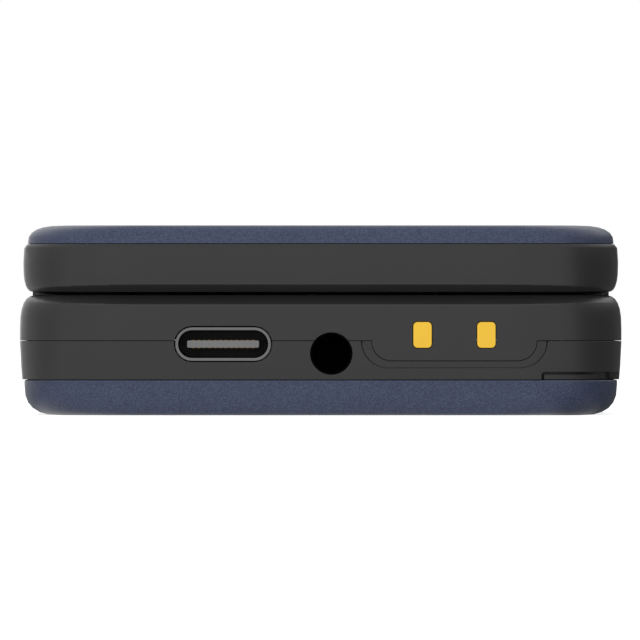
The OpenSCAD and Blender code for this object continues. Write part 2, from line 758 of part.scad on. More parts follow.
// All that is below the middle seam, apart from the contact tab
module below_the_seam() {
    difference() {
        block(-half_w - over, half_w + over, front_y - over, half_l + over, seam_mid - tab_drop - over,
            seam_mid + seam_gap);
        along_y(tab_outline(0, 0), front_y - 2 * over, front_y + 2 * wall);
    }
}

module contact_openings() {
    for (x = contact_xs)
        along_y(plate_outline(x, contact_z, contact_w + fit, contact_h + fit, contact_corner_r + fit / 2),
            front_y - over, front_y + wall + over);
}

module key_openings() {
    for (k = number_keys)
        plate(k[1] * key_pitch_x, key_y0 + k[2] * key_pitch_y, key_w + 2 * key_gap, key_d + 2 * key_gap,
            key_corner_r + key_gap, deck_low - over, lid_low);
    for (k = command_keys)
        plate(k[1] * command_x, k[2], command_w + 2 * key_gap, command_d + 2 * key_gap,
            key_corner_r + key_gap, deck_low - over, lid_low);
    disc(nav_r + key_gap, 0, nav_y, deck_low - over, lid_low);
}

module volume_openings() {
    for (k = volume_keys) translate([0, volume_y + k[1] * volume_pitch / 2, volume_z])
        block(-half_w - over, -half_w + wall + over, -volume_l / 2 - key_gap, volume_l / 2 + key_gap,
            -volume_h / 2 - key_gap, volume_h / 2 + key_gap);
}

module base_rear_housing() {
    color(case_grey) difference() {
        union() {
            loft([level(cover_h, base_plan, band_taper, band_taper),
                level(cover_h + rear_h * 0.36, base_plan, band_taper / 2, band_taper / 2),
                level(seam_mid, base_plan, 0, 0)]);
            plan_prism(base_plan, plinth_in, plinth_z, cover_h + over);
        }
        difference() {
            union() {
                // front compartment, side channels and rear compartments
                hollow(-half_w, half_w, front_y, bay_front - rib, hollow_z);
                mirror_pair()
                    hollow(bay_half_w + rib, half_w, bay_front - rib - over, bay_rear + rib, hollow_z);
                hollow(-half_w, card_wall_x, rear_start, hollow_stop, hollow_z);
                hollow(card_wall_x - over, half_w, rear_start, hollow_stop, card_pocket_top + rib);
            }
            screw_places() disc(pillar_r, 0, 0, 0, seam_mid + over);
        }
        // battery bay and the slot for its contacts
        block(-bay_half_w, bay_half_w, bay_front, bay_rear, plinth_z - over, bay_top);
        block(-plug_w / 2 - 2 * fit, plug_w / 2 + 2 * fit, bay_front - rib - over, bay_front + over,
            hollow_z, seam_mid + over);
        // pocket of the card holder, open below
        plate(card_x, rear_mid_y, card_w + 2 * fit, card_d + 2 * fit, 0.6, plinth_z - over, card_pocket_top);
        // pockets under the hinge ears
        mirror_pair() block(ear_start + rib + hinge_gap, half_w - 2 * wall - rib, hollow_stop + 2 * rib,
            axis_y + wall, hollow_z, seam_mid + over);
        block(flex_x - 0.3, flex_x + flex_w + 0.3, hollow_stop - over, axis_y - 3, flex_low - 0.3,
            seam_mid + over);
        // room for the lid's barrel
        axis_bar(scoop_r, -ear_start, ear_start);
        block(-ear_start, ear_start, axis_y, half_l + over, axis_z - scoop_r, lid_top);
        usb_outline_cut();
        jack_cut();
        along_y(tab_outline(seam_gap, seam_gap), front_y - over, front_y + wall + over);
        tab_line_cut();
        notch_cut();
        sound_slots(plinth_z - over, hollow_z + over);
        screw_places() {
            disc(screw_r + fit, 0, 0, 0, seam_mid + over);
            disc(screw_head_r + fit, 0, 0, 0, screw_seat);
        }
    }
}

// A compartment of the rear housing, narrower below where the plinth's wall is
module hollow(x0, x1, y0, y1, z0) {
    intersection() {
        plan_prism(base_plan, wall, step_z, seam_mid + over);
        block(x0, x1, y0, y1, step_z - over, seam_mid + over);
    }
    intersection() {
        plan_prism(base_plan, plinth_in + rib, z0, step_z + over);
        block(x0, x1, y0, y1, z0, step_z + over);
    }
}

// The loudspeaker's slots, which go through the battery cover and the housing above it
module sound_slots(z0, z1) {
    for (i = [1 : slot_n])
        plate(speaker_x - speaker_w / 2 + i * slot_pitch, rear_mid_y, slot_w, speaker_d - 3,
            slot_w * 0.45, z0, z1);
}

// The fine line that follows the contact tab and spreads a little at its sides
module tab_line_cut() {
    spread = 1.45 * tab_line_off;
    intersection() {
        skin_band(band_taper / 2 + tab_line, seam_mid - tab_drop - 2, seam_mid);
        translate([0, front_y + 2 * wall, 0]) rotate([90, 0, 0]) linear_extrude(2 * wall + over)
            difference() {
                polygon(tab_outline(tab_line_off + tab_line, spread + tab_line));
                polygon(tab_outline(tab_line_off, spread));
            }
    }
}

// The notch that a fingernail opens the battery cover with, and the rest for the nail inside it
module notch_cut() {
    difference() {
        intersection() {
            skin_band(band_taper + notch_depth, cover_h - over, cover_h + notch_h + over);
            along_y(notch_outline(0), front_y - over, front_y + notch_l);
        }
        intersection() {
            plan_prism(base_plan, band_taper + notch_rest, cover_h - 2 * over, cover_h + notch_h);
            along_y(notch_outline(notch_channel), front_y - 2 * over, front_y + notch_l / 2);
        }
    }
}

module battery_cover() {
    drop = cover_h - seam_gap - cover_upright;
    color(cover_blue) difference() {
        loft(concat(
            [for (k = [edge_steps : -1 : 0]) level(drop - drop * edge_rise(k), base_plan,
                cover_step + cover_side_in * edge_in(k), cover_step + cover_end_in * edge_in(k))],
            [level(cover_h - seam_gap, base_plan, cover_step, cover_step)]));
        plan_prism(base_plan, cover_step + cover_wall, cover_floor, cover_h + over);
        sound_slots(-over, cover_floor + over);
    }
}

// ---- Base: electronics ----

module battery() {
    color(black) plate(0, battery_y, battery_w, battery_l, 1.5, cover_floor + fit, bay_top - fit);
}

module battery_contacts() {
    color(gold) {
        block(-plug_w / 2, plug_w / 2, bay_front - fit - plug_d, bay_front - fit, hollow_z + 0.3,
            board_low - stack_gap);
        for (x = [-plug_w * 0.3, 0, plug_w * 0.3])
            block(x - 0.5, x + 0.5, bay_front - fit - 0.01, bay_front + battery_gap - fit, hollow_z + 0.8,
                bay_top - 1);
    }
}

module main_board() {
    color(board_green) difference() {
        intersection() {
            plan_prism(base_plan, wall + 0.8, board_low, board_top);
            block(-half_w, half_w, front_y + wall + 0.7, hollow_stop - 0.5, board_low, board_top);
        }
        block(usb_x - usb_w / 2 - 0.2, usb_x + usb_w / 2 + 0.2, front_y, usb_front + usb_l + 0.2,
            0, base_top);
        block(jack_x - jack_w / 2 - 0.2, jack_x + jack_w / 2 + 0.2, front_y,
            jack_front + jack_bore_l + 1.8, 0, base_top);
        screw_places() disc(boss_r + 0.3, 0, 0, 0, base_top);
    }
}

module shield_cans() {
    color(steel) {
        plate(-(can_w + can_gap) / 2, battery_y, can_w, battery_l * can_share, 1, seam_mid + fit,
            board_low - stack_gap);
        plate((can_w + can_gap) / 2, battery_y, can_w, battery_l * can_share * 0.8, 1, seam_mid + fit,
            board_low - stack_gap);
    }
}

module keypad_plate(z0, z1) {
    d0 = key_y0 - key_d / 2 - key_flange;
    d1 = soft_y + command_d / 2 + key_flange;
    plate(0, (d0 + d1) / 2, keypad_w - 4 * fit, d1 - d0, 2, z0, z1);
}

module dome_sheet() {
    color(steel) union() {
        keypad_plate(board_top + stack_gap, sheet_top);
        for (k = number_keys) dome(k[1] * key_pitch_x, key_y0 + k[2] * key_pitch_y);
        for (k = command_keys) dome(k[1] * command_x, k[2]);
        for (a = [0 : 90 : 270]) dome((nav_r - 3) * cos(a), nav_y + (nav_r - 3) * sin(a));
        dome(0, nav_y);
    }
}

module dome(x, y) {
    translate([x, y, sheet_top - 0.02])
        cylinder(r1 = dome_r, r2 = dome_r * 0.6, h = dome_h + 0.02, $fn = 24);
}

module keypad_mat() {
    color([0.5, 0.5, 0.52]) keypad_plate(mat_low, mat_top);
}

// ---- Keys ----

// A key with a flange that holds it under the keypad's floor
module key(x, y, w, d) {
    wide = plate_outline(x, y, w + 2 * key_flange, d + 2 * key_flange, key_corner_r + key_flange);
    body = plate_outline(x, y, w, d, key_corner_r);
    soft = plate_outline(x, y, w - 2 * key_edge, d - 2 * key_edge, key_corner_r - key_edge);
    loft([[key_low, wide], [flange_top, wide], [flange_top, body], [key_top - key_edge * 0.7, body],
        [key_top, soft]]);
}

module number_key(name) {
    k = [for (n = number_keys) if (n[0] == name) n][0];
    color(key_grey) key(k[1] * key_pitch_x, key_y0 + k[2] * key_pitch_y, key_w, key_d);
}

module command_key(name, tint) {
    k = [for (n = command_keys) if (n[0] == name) n][0];
    color(tint) key(k[1] * command_x, k[2], command_w, command_d);
}

module nav_ring() {
    color(key_grey) translate([0, nav_y, 0]) rotate_extrude($fn = round_fn) polygon([
        [nav_hole_r, key_low], [nav_r + key_flange, key_low], [nav_r + key_flange, flange_top],
        [nav_r, flange_top], [nav_r, key_top - key_edge], [nav_r - key_edge, key_top],
        [nav_hole_r + key_edge, key_top], [nav_hole_r, key_top - key_edge]]);
}

module ok_key() {
    color(steel) translate([0, nav_y, 0]) rotate_extrude($fn = round_fn) polygon([
        [0, key_low], [ok_r, key_low], [ok_r, key_top - key_edge], [ok_r - key_edge, key_top],
        [0, key_top]]);
}

module volume_key(side) {
    y = volume_y + side * volume_pitch / 2;
    color(key_grey) {
        along_x(plate_outline(y, volume_z, volume_l, volume_h, 0.6), -half_w + 0.12, -half_w + wall + 0.1);
        along_x(plate_outline(y, volume_z, volume_l + 1, volume_h + 0.6, 0.6),
            -half_w + wall + 0.05, -half_w + wall + 0.35);
    }
}

// ---- Charging end ----

module usb_shell() {
    color(steel) difference() {
        along_y(plate_outline(usb_x, usb_z, usb_w, usb_h, usb_h / 2 - 0.01, 6), usb_front,
            usb_front + usb_l);
        along_y(plate_outline(usb_x, usb_z, usb_w - 2 * usb_sheet, usb_h - 2 * usb_sheet,
            usb_h / 2 - usb_sheet - 0.01, 6), usb_front - over, usb_front + usb_l - usb_sheet);
    }
}

module usb_tongue() {
    back = usb_front + usb_l - usb_sheet - 0.05;
    color(black) {
        along_y(plate_outline(usb_x, usb_z, usb_tongue_w, usb_tongue_h, 0.15), usb_front + 0.8, back);
        along_y(plate_outline(usb_x, usb_z, usb_w - 2 * usb_sheet - 0.1, usb_h - 2 * usb_sheet - 0.1,
            usb_h / 2 - usb_sheet - 0.06, 6), back - 1.4, back);
    }
}

module audio_jack() {
    color(black) difference() {
        block(jack_x - jack_w / 2, jack_x + jack_w / 2, jack_front, jack_front + jack_bore_l + 1.5,
            jack_z - jack_h / 2, jack_z + jack_h / 2);
        y_cylinder(jack_bore_r, jack_x, jack_z, jack_front - over, jack_front + jack_bore_l);
    }
}

module charging_contacts() {
    color(gold) for (x = contact_xs)
        along_y(plate_outline(x, contact_z, contact_w, contact_h, contact_corner_r), front_y + 0.02,
            contact_back);
}

module contact_springs() {
    z0 = contact_z - 0.6;
    color(gold) for (x = contact_xs) {
        block(x - 0.5, x + 0.5, contact_back + 0.05, contact_back + 0.25, z0, board_low - stack_gap);
        block(x - 0.5, x + 0.5, contact_back + 0.24, contact_back + 3, board_low - stack_gap - 0.2,
            board_low - stack_gap);
    }
}

module microphone() {
    color(steel) plate(mic_x, mic_y, mic_w, mic_d, 0.2, board_top + stack_gap, deck_low - stack_gap);
}

module loudspeaker() {
    color(black) plate(speaker_x, rear_mid_y, speaker_w, speaker_d, 1.5, hollow_z + 0.05,
        hollow_z + speaker_h);
}

module vibration_motor() {
    color(steel) disc(motor_r, motor_x, rear_mid_y, hollow_z + 0.05, hollow_z + motor_h);
}

module card_holder() {
    color(steel) plate(card_x, rear_mid_y, card_w, card_d, 0.5, plinth_z + fit, plinth_z + fit + card_h);
}

module base_screws() {
    color(steel) screw_places() union() {
        disc(screw_head_r, 0, 0, screw_seat - screw_head_h, screw_seat);
        disc(screw_r, 0, 0, screw_seat - 0.1, screw_tip);
    }
}

// ---- Hinge ----

module hinge_shaft() {
    color(steel) {
        axis_bar(shaft_r, seam_gap - ear_start, -barrel_x + cartridge_l - 1.4);
        block(-ear_start - shaft_head_l, 2 * seam_gap - ear_start, axis_y - shaft_head_w / 2,
            axis_y + shaft_head_w / 2, axis_z - shaft_head_w / 2, axis_z + shaft_head_w / 2);
    }
}

module cartridge_shape(g, x0, x1) {
    intersection() {
        axis_bar(cartridge_r + g, x0, x1);
        block(x0 - over, x1 + over, axis_y - cartridge_r * 0.87 - g, axis_y + cartridge_r * 0.87 + g,
            0, lid_top);
    }
}

module hinge_cartridge() {
    color(steel) difference() {
        cartridge_shape(0, -barrel_x + seam_gap, -barrel_x + cartridge_l);
        axis_bar(shaft_r + running_gap, -barrel_x - over, -barrel_x + cartridge_l - 1.2);
    }
}

module hinge_bush() {
    color(steel) difference() {
        axis_bar(bush_r, barrel_x - bush_half_l, ear_start + bush_half_l - 0.1);
        axis_bar(bush_bore_r, barrel_x - bush_half_l - over, ear_start + bush_half_l + over);
    }
}

// From the main board, under the right ear, up to the axis and into the bush
module base_flex() {
    y0 = hollow_stop - 0.35;
    x0 = flex_x - flex_w;
    x1 = flex_x + flex_w;
    z1 = board_low - stack_gap;
    color(film) {
        block(x0, flex_x, y0 - flex_w, y0 + flex_t, z1 - flex_t, z1);
        block(x0, x1, y0, y0 + flex_t, z1 - flex_w / 3, z1);
        block(flex_x, x1, y0, y0 + flex_t, flex_low, z1);
        block(flex_x, x1, y0, flex_y, flex_low, flex_low + flex_t);
        block(flex_x, x1, flex_y - flex_t, flex_y, flex_low, axis_z + flex_half_h);
        block(flex_meet_x, x1, flex_y - flex_t, flex_y, axis_z - flex_half_h, axis_z + flex_half_h);
    }
}

// From the bush, through the barrel's neck, to the lid board
module lid_flex() {
    x1 = flex_lid_x + flex_w;
    z = floor_top + 0.15;
    y0 = lid_board_rear - 2 * fit;
    color(film) {
        block(flex_lid_x, flex_meet_x - seam_gap, flex_y - flex_t, flex_y, axis_z - flex_half_h,
            axis_z + flex_half_h);
        block(flex_lid_x, x1, flex_y - flex_t, flex_y, axis_z - flex_half_h, z + flex_t);
        block(flex_lid_x, x1, y0, flex_y, z, z + flex_t);
        block(flex_lid_x, x1, y0, y0 + flex_t, z, lid_board_z - stack_gap);
    }
}

// ---- Lid ----

module lid_housing() {
    low_rise = min(lid_rim_rise, lid_h - lid_brow_rise - 0.1);
    color(case_grey) difference() {
        union() {
            difference() {
                loft(concat(
                    [for (k = [edge_steps : -1 : 0]) level(lid_low + low_rise * (1 - edge_rise(k)),
                        lid_plan, lid_rim_in * edge_in(k), lid_rim_in * end_share * edge_in(k))],
                    [for (k = [0 : edge_steps / 2 : edge_steps])
                        level(lid_seam - lid_brow_rise * (1 - edge_rise(k)), lid_plan,
                        lid_brow_in * edge_in(k), lid_brow_in * end_share * edge_in(k))]));
                plan_prism(lid_plan, lid_wall, floor_top, lid_top);
            }
            // barrel and the neck that carries it
            axis_bar(hinge_r, -barrel_x, barrel_x);
            along_x([[lid_rear - lid_wall + 0.2, lid_low], [axis_y, lid_low], [axis_y, lid_seam - 0.1],
                [lid_rear - lid_wall + 0.2, lid_seam - 0.1]], -barrel_x, barrel_x);
            lid_screw_places() disc(pillar_r + 0.4, 0, 0, floor_top - 0.5, lid_post_top);
        }
        finger_wedge(lid_plan, lid_low + lid_lip, lid_low, lid_wedge_in);
        // inner face, glass seat, picture opening and sound slot
        plan_prism(lid_plan, lid_rim_w, lid_low - over, face_z);
        plate(0, glass_y, glass_w + fit, glass_l + fit, glass_corner_r, lid_low - over, glass_seat);
        plate(0, glass_y, view_w + 1, view_l + 1, 1, lid_low - over, floor_top + over);
        plate(0, earpiece_y, earpiece_w * 0.8, earpiece_slot, earpiece_slot * 0.45, lid_low - over,
            floor_top + over);
        // running gap round the ears
        mirror_pair() axis_bar(scoop_r, barrel_x, half_w + over);
        // seats in the barrel
        cartridge_shape(seam_gap, -barrel_x - over, -barrel_x + cartridge_l + seam_gap);
        axis_bar(bush_r + running_gap, barrel_x - bush_half_l - 0.1, barrel_x + over);
        block(flex_lid_x - 0.3, barrel_x - bush_half_l, axis_y - 1.2, axis_y + 1.2, axis_z - 1.2,
            axis_z + 1.2);
        block(flex_lid_x - 0.3, flex_lid_x + flex_w + 0.3, axis_y - 1.2, axis_y + 0.2, axis_z - 1.2,
            floor_top + 0.6);
        block(flex_lid_x - 0.3, flex_lid_x + flex_w + 0.3, lid_rear - lid_wall - 1, axis_y, floor_top,
            floor_top + 0.6);
        lid_screw_places() {
            disc(screw_r + fit, 0, 0, lid_low, lid_top);
            disc(screw_head_r + fit, 0, 0, lid_low, lid_screw_seat);
        }
    }
}

module lid_outer_cover() {
    rise = lid_cover_h - seam_gap;
    color(cover_blue) difference() {
        union() {
            difference() {
                loft([for (k = [0 : edge_steps]) level(cover_low + rise * edge_rise(k), lid_plan,
                    lid_cover_step + cover_side_in * edge_in(k),
                    lid_cover_step * 0.6 + cover_end_in * edge_in(k))]);
                plan_prism(lid_plan, lid_cover_step + lid_wall, cover_low - over, cover_in_z);
            }
            lid_screw_places() disc(boss_r, 0, 0, lid_post_top + 0.05, cover_in_z + 0.1);
        }
        lid_screw_places() disc(screw_r + 0.02, 0, 0, lid_post_top - over, cover_in_z - 0.3);
        plate(0, outer_y, outer_w + fit, outer_l + fit, 2, outer_seat, lid_top + over);
        plate(0, outer_y, outer_w - 2 * outer_ledge, outer_l - 2 * outer_ledge, 1, cover_in_z - over,
            lid_top);
        disc(camera_r + fit / 2, camera_x, camera_y, outer_seat, lid_top + over);
        disc(camera_r - 0.7, camera_x, camera_y, cover_in_z - over, lid_top);
        disc(flash_r + fit / 2, flash_x, camera_y, cover_in_z - over, lid_top + over);
    }
}

module display_glass() {
    color(black) plate(0, glass_y, glass_w, glass_l, glass_corner_r - fit / 2, face_z + 0.02,
        face_z + glass_t);
}

module display_panel() {
    color(steel) plate(0, glass_y, panel_w, panel_l, 0.5, panel_z, panel_z + panel_t);
}

module outer_window() {
    color(black) plate(0, outer_y, outer_w, outer_l, 2 - fit / 2, outer_seat + 0.02, outer_seat + outer_t);
}

module outer_panel() {
    color(steel) plate(0, outer_y, outer_w - 2 * outer_ledge + 2, outer_l - 2 * outer_ledge + 2, 0.5,
        lid_board_top + stack_gap, cover_in_z - 0.05);
}

module camera_module() {
    color(black) {
        plate(camera_x, camera_y, camera_w, camera_w, 0.4, floor_top + 0.1, cover_in_z - 0.4);
        disc(camera_r - 0.9, camera_x, camera_y, cover_in_z - 0.41, outer_seat - 0.02);
    }
}

module camera_window() {
    color(black) disc(camera_r, camera_x, camera_y, outer_seat + 0.02, outer_seat + outer_t);
}

module flash_lens() {
    color([0.9, 0.9, 0.85]) disc(flash_r, flash_x, camera_y, lid_board_top + 0.1, outer_seat + outer_t);
}

module earpiece() {
    color(black) plate(0, earpiece_y, earpiece_w, earpiece_d, 1, floor_top + stack_gap,
        floor_top + stack_gap + earpiece_h);
}

module lid_board() {
    color(board_green) difference() {
        plate(0, (lid_board_front + lid_board_rear) / 2, panel_w * board_share,
            lid_board_rear - lid_board_front, 1, lid_board_z, lid_board_top);
        block(camera_x - camera_w / 2 - 0.2, camera_x + camera_w / 2 + 0.2, camera_y - camera_w / 2 - 0.2,
            half_l, 0, lid_top);
    }
}

module closing_magnet() {
    color(steel) plate((earpiece_w + magnet_w) / 2 + magnet_gap, earpiece_y, magnet_w, magnet_d, 0.3,
        floor_top + stack_gap, floor_top + stack_gap + magnet_h);
}

module lid_bumpers() {
    color(black) lid_screw_places() union() {
        disc(bumper_r, 0, 0, bumper_low, face_z - 0.02);
        disc(screw_head_r, 0, 0, face_z - 0.1, lid_screw_seat - screw_head_h - 0.05);
    }
}

module lid_screws() {
    color(steel) lid_screw_places() union() {
        disc(screw_head_r, 0, 0, lid_screw_seat - screw_head_h, lid_screw_seat);
        disc(screw_r, 0, 0, lid_screw_seat - 0.1, cover_in_z - 0.5);
    }
}

base_front_housing();
base_rear_housing();
battery_cover();
battery();
battery_contacts();
main_board();
shield_cans();
dome_sheet();
keypad_mat();
number_key("key_1");  // key_1
number_key("key_2");  // key_2
number_key("key_3");  // key_3
number_key("key_4");  // key_4
number_key("key_5");  // key_5
number_key("key_6");  // key_6
number_key("key_7");  // key_7
number_key("key_8");  // key_8
number_key("key_9");  // key_9
number_key("key_star");  // key_star
number_key("key_0");  // key_0
number_key("key_hash");  // key_hash
command_key("soft_key_left", key_grey);  // soft_key_left
command_key("soft_key_right", key_grey);  // soft_key_right
command_key("call_key", [0.15, 0.5, 0.25]);  // call_key
command_key("end_key", [0.7, 0.12, 0.12]);  // end_key
nav_ring();
ok_key();
volume_key(1);  // volume_up_key
volume_key(-1);  // volume_down_key
usb_shell();
usb_tongue();
audio_jack();
charging_contacts();
contact_springs();
microphone();
loudspeaker();
vibration_motor();
card_holder();
base_screws();
hinge_shaft();
hinge_bush();
base_flex();
lid_housing();
lid_outer_cover();
display_glass();
display_panel();
outer_window();
outer_panel();
camera_module();
camera_window();
flash_lens();
earpiece();
lid_board();
closing_magnet();
lid_bumpers();
lid_screws();
hinge_cartridge();
lid_flex();
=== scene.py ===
# %% [markdown]
# A small flip phone lies closed on a table. Its solids were drawn in millimetres in OpenSCAD and
# packed into one file, and this lesson dresses them for the camera: soft edges, paint, moulded
# plastic, plated metal, key legends, glass, light. Every solid keeps its place, because the joints
# of the lid, the battery cover and the keys are counted from the same corner of the world.

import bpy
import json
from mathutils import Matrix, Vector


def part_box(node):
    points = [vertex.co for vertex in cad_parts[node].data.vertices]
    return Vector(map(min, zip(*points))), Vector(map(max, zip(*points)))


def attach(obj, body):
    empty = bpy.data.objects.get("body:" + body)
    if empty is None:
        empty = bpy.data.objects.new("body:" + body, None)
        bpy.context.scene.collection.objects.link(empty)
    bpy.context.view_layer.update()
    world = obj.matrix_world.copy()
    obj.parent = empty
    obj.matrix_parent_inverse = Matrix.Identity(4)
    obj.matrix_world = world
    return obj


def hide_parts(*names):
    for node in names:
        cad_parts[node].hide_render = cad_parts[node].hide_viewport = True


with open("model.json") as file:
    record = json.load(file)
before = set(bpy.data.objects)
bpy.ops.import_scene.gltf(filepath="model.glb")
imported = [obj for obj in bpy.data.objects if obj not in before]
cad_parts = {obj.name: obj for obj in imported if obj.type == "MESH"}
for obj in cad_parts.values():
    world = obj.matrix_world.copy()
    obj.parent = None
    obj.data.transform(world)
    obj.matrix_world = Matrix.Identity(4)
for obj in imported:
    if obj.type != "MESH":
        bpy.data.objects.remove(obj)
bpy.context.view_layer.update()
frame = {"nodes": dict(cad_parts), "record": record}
print("solids loaded:", len(frame["nodes"]))

# %% [markdown]
# Blender counts in metres and the phone was drawn in millimetres, so one number turns the one into
# the other. The list of bodies says which solid swings with the lid, which lifts off with the
# battery cover and which stays; a piece made here rides on the same body as the solid it dresses.

# %% Units and bodies
import json
import math
import bmesh
import bpy
from mathutils import Matrix, Vector

MM = 0.001
body_of_node = {}
for body, members in frame["record"]["behaviour"]["bodies"].items():
    for member in members:
        body_of_node[member] = body
print("bodies:", sorted(set(body_of_node.values())))

# %% [markdown]
# A real moulding has no knife edges: the tool leaves a radius of a few hundredths of a millimetre
# on every corner, and it is this thin strip that catches the light. The solids come as loose
# triangles, so a copy is merged first, its flat faces are joined again, its sharp edges get a
# narrow Bevel, and Weighted Normal keeps the flat faces flat while the strips shade round. Where
# two strips meet on an old edge the Bevel can leave two corners in one place, so they are joined
# after it. Where a moulding has a softer lip, the edges there get a larger bevel weight than the
# rest. The strips are marked in a face attribute called edge, so that a finish can look a little
# rubbed there.

# %% Helpers: a softened copy of a solid, and a finished piece
LOOSE = 0.0004 * MM  # corners of loose triangles that lie nearer than this are one corner
DOUBLE = 0.0001 * MM  # the same for the corners that a modifier leaves in one place
FLAT = math.radians(0.2)  # two faces that meet at less than this are one face
SHARP = math.radians(32)  # an edge that turns by more than this gets a strip


def merged(node):
    """A joined-up copy of a solid's mesh, as an editable BMesh."""
    bm = bmesh.new()
    bm.from_mesh(frame["nodes"][node].data)
    bmesh.ops.remove_doubles(bm, verts=bm.verts, dist=LOOSE)
    bmesh.ops.dissolve_limit(bm, angle_limit=FLAT, verts=bm.verts, edges=bm.edges)
    return bm


def evaluated(mesh, name, steps):
    """Runs modifiers on a mesh and hands back the plain mesh that comes out."""
    holder = bpy.data.objects.new(name, mesh)
    bpy.context.scene.collection.objects.link(holder)
    for kind, settings in steps:
        step = holder.modifiers.new(kind.title(), kind)
        for key, value in settings.items():
            setattr(step, key, value)
    graph = bpy.context.evaluated_depsgraph_get()
    done = bpy.data.meshes.new_from_object(holder.evaluated_get(graph), depsgraph=graph,
                                           preserve_all_data_layers=True)
    bpy.data.objects.remove(holder)
    done.name = name
    return done


def weld(mesh):
    """Joins the corners of a mesh that lie in one place."""
    bm = bmesh.new()
    bm.from_mesh(mesh)
    bmesh.ops.remove_doubles(bm, verts=bm.verts, dist=DOUBLE)
    bm.to_mesh(mesh)
    bm.free()


def shaded(bm, name, edge=0.0, soft=None):
    """Turns a BMesh into a smooth-shaded mesh, with a bevel of edge millimetres on sharp edges.

    soft is a width in millimetres and a test of an edge's middle: where it holds, the bevel has
    that width.
    """
    widest = max(edge, soft[0]) if soft else edge
    weight = bm.edges.layers.float.new("bevel_weight_edge")
    for line in bm.edges:
        if widest and len(line.link_faces) == 2 and line.calc_face_angle() > SHARP:
            middle = (line.verts[0].co + line.verts[1].co) / 2 / MM
            line[weight] = 1.0 if soft and soft[1](middle) else edge / widest
    mesh = bpy.data.meshes.new(name)
    bm.to_mesh(mesh)
    bm.free()
    mesh.materials.clear()
    for _ in ("faces", "strips"):
        mesh.materials.append(None)
    mesh.polygons.foreach_set("use_smooth", [True] * len(mesh.polygons))
    mesh.polygons.foreach_set("material_index", [0] * len(mesh.polygons))
    mesh.set_sharp_from_angle(angle=SHARP)
    if widest:
        mesh = evaluated(mesh, name, [("BEVEL", dict(
            width=widest * MM, segments=3 if soft else 2, material=1, limit_method="WEIGHT",
            use_clamp_overlap=False, miter_outer="MITER_ARC", loop_slide=False))])
        weld(mesh)
    done = evaluated(mesh, name, [("WEIGHTED_NORMAL", dict(keep_sharp=not widest, weight=50))])
    strips = [float(face.material_index) for face in done.polygons]
    done.attributes.new("edge", "FLOAT", "FACE").data.foreach_set("value", strips)
    done.polygons.foreach_set("material_index", [0] * len(done.polygons))
    return done


def piece(mesh, name, body, slot, material, *stands_for):
    mesh.materials.clear()
    mesh.materials.append(material)
    made = bpy.data.objects.new(name, mesh)
    bpy.context.scene.collection.objects.link(made)
    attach(made, body)
    if stands_for:
        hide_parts(*stands_for)


def dress(node, slot, material, edge, soft=None):
    """Replaces a solid by its softened copy in its own finish."""
    mesh = shaded(merged(node), node + "_skin", edge, soft)
    piece(mesh, node + "_skin", body_of_node[node], slot, material, node)
    print(f"{node}: {len(mesh.polygons)} faces, edge {edge} mm")


# %% [markdown]
# Finishes are node trees. Written link by link they are hard to read, so one small class wraps an
# output socket and lets Python's own signs build the Math nodes: 1 - mask, flakes * 0.3. Colours
# go through Mix and directions through Vector Math, and every other node comes from the one method
# called node.

# %% A socket that can be reckoned with
class Wire:
    """An output socket of a node tree; numbers and other wires combine with it in plain Python."""

    def __init__(self, tree, socket=None):
        self.tree, self.socket = tree, socket

    def node(self, kind, settings=None, inputs=None, out=0):
        """Any node: its type, its settings, its sockets' values or wires, and the socket out."""
        made = self.tree.nodes.new(kind)
        for key, value in (settings or {}).items():
            if key == "stops":
                ramp = made.color_ramp.elements
                while len(ramp) < len(value):
                    ramp.new(0.5)
                for stop, (place, colour) in zip(ramp, value):
                    stop.position, stop.color = place, (*colour, 1)
            else:
                setattr(made, key, value)
        for key, value in (inputs or {}).items():
            for one in value if isinstance(value, list) else [value]:
                if isinstance(one, Wire):
                    self.tree.links.new(one.socket, made.inputs[key])
                else:
                    made.inputs[key].default_value = one
        return Wire(self.tree, made.outputs[out])

    def math(self, operation, a, b=0.0):
        """A Math node on wires or numbers."""
        return self.node("ShaderNodeMath", {"operation": operation}, {0: a, 1: b})

    def __add__(self, other):
        return self.math("ADD", self, other)

    __radd__ = __add__

    def __sub__(self, other):
        return self.math("SUBTRACT", self, other)

    def __rsub__(self, other):
        return self.math("SUBTRACT", other, self)

    def __mul__(self, other):
        return self.math("MULTIPLY", self, other)

    __rmul__ = __mul__

    def __truediv__(self, other):
        return self.math("DIVIDE", self, other)

    def __abs__(self):
        return self.math("ABSOLUTE", self)

    def __lt__(self, other):
        return self.math("LESS_THAN", self, other)

    def vector(self, operation, other=(0.0, 0.0, 0.0), out=0):
        """Vector Math on this wire and another; a length or a dot product comes from out 1."""
        return self.node("ShaderNodeVectorMath", {"operation": operation}, {0: self, 1: other}, out)

    def split(self, kind, out=0):
        """One number of a colour (kind Color) or of a place (kind XYZ)."""
        return self.node("ShaderNodeSeparate" + kind, {}, {0: self}, out)

    def smooth(self, start, full):
        """0 up to start, 1 from full on, and a soft rise between the two."""
        return self.node("ShaderNodeMapRange", {"interpolation_type": "SMOOTHSTEP"},
                         {"Value": self, "From Min": start, "From Max": full})

    def span(self, low, high):
        """Stretches this wire's 0 to 1 over low to high."""
        return self * (high - low) + low

    def mix(self, low, high):
        """Colour low where this wire is 0, colour high where it is 1."""
        low, high = [(*c, 1) if isinstance(c, tuple) and len(c) == 3 else c for c in (low, high)]
        return self.node("ShaderNodeMix", {"data_type": "RGBA"}, {0: self, 6: low, 7: high}, out=2)

    def blend(self, low, high):
        """Shader low where this wire is 0, shader high where it is 1."""
        return self.node("ShaderNodeMixShader", {}, {0: self, 1: low, 2: high})


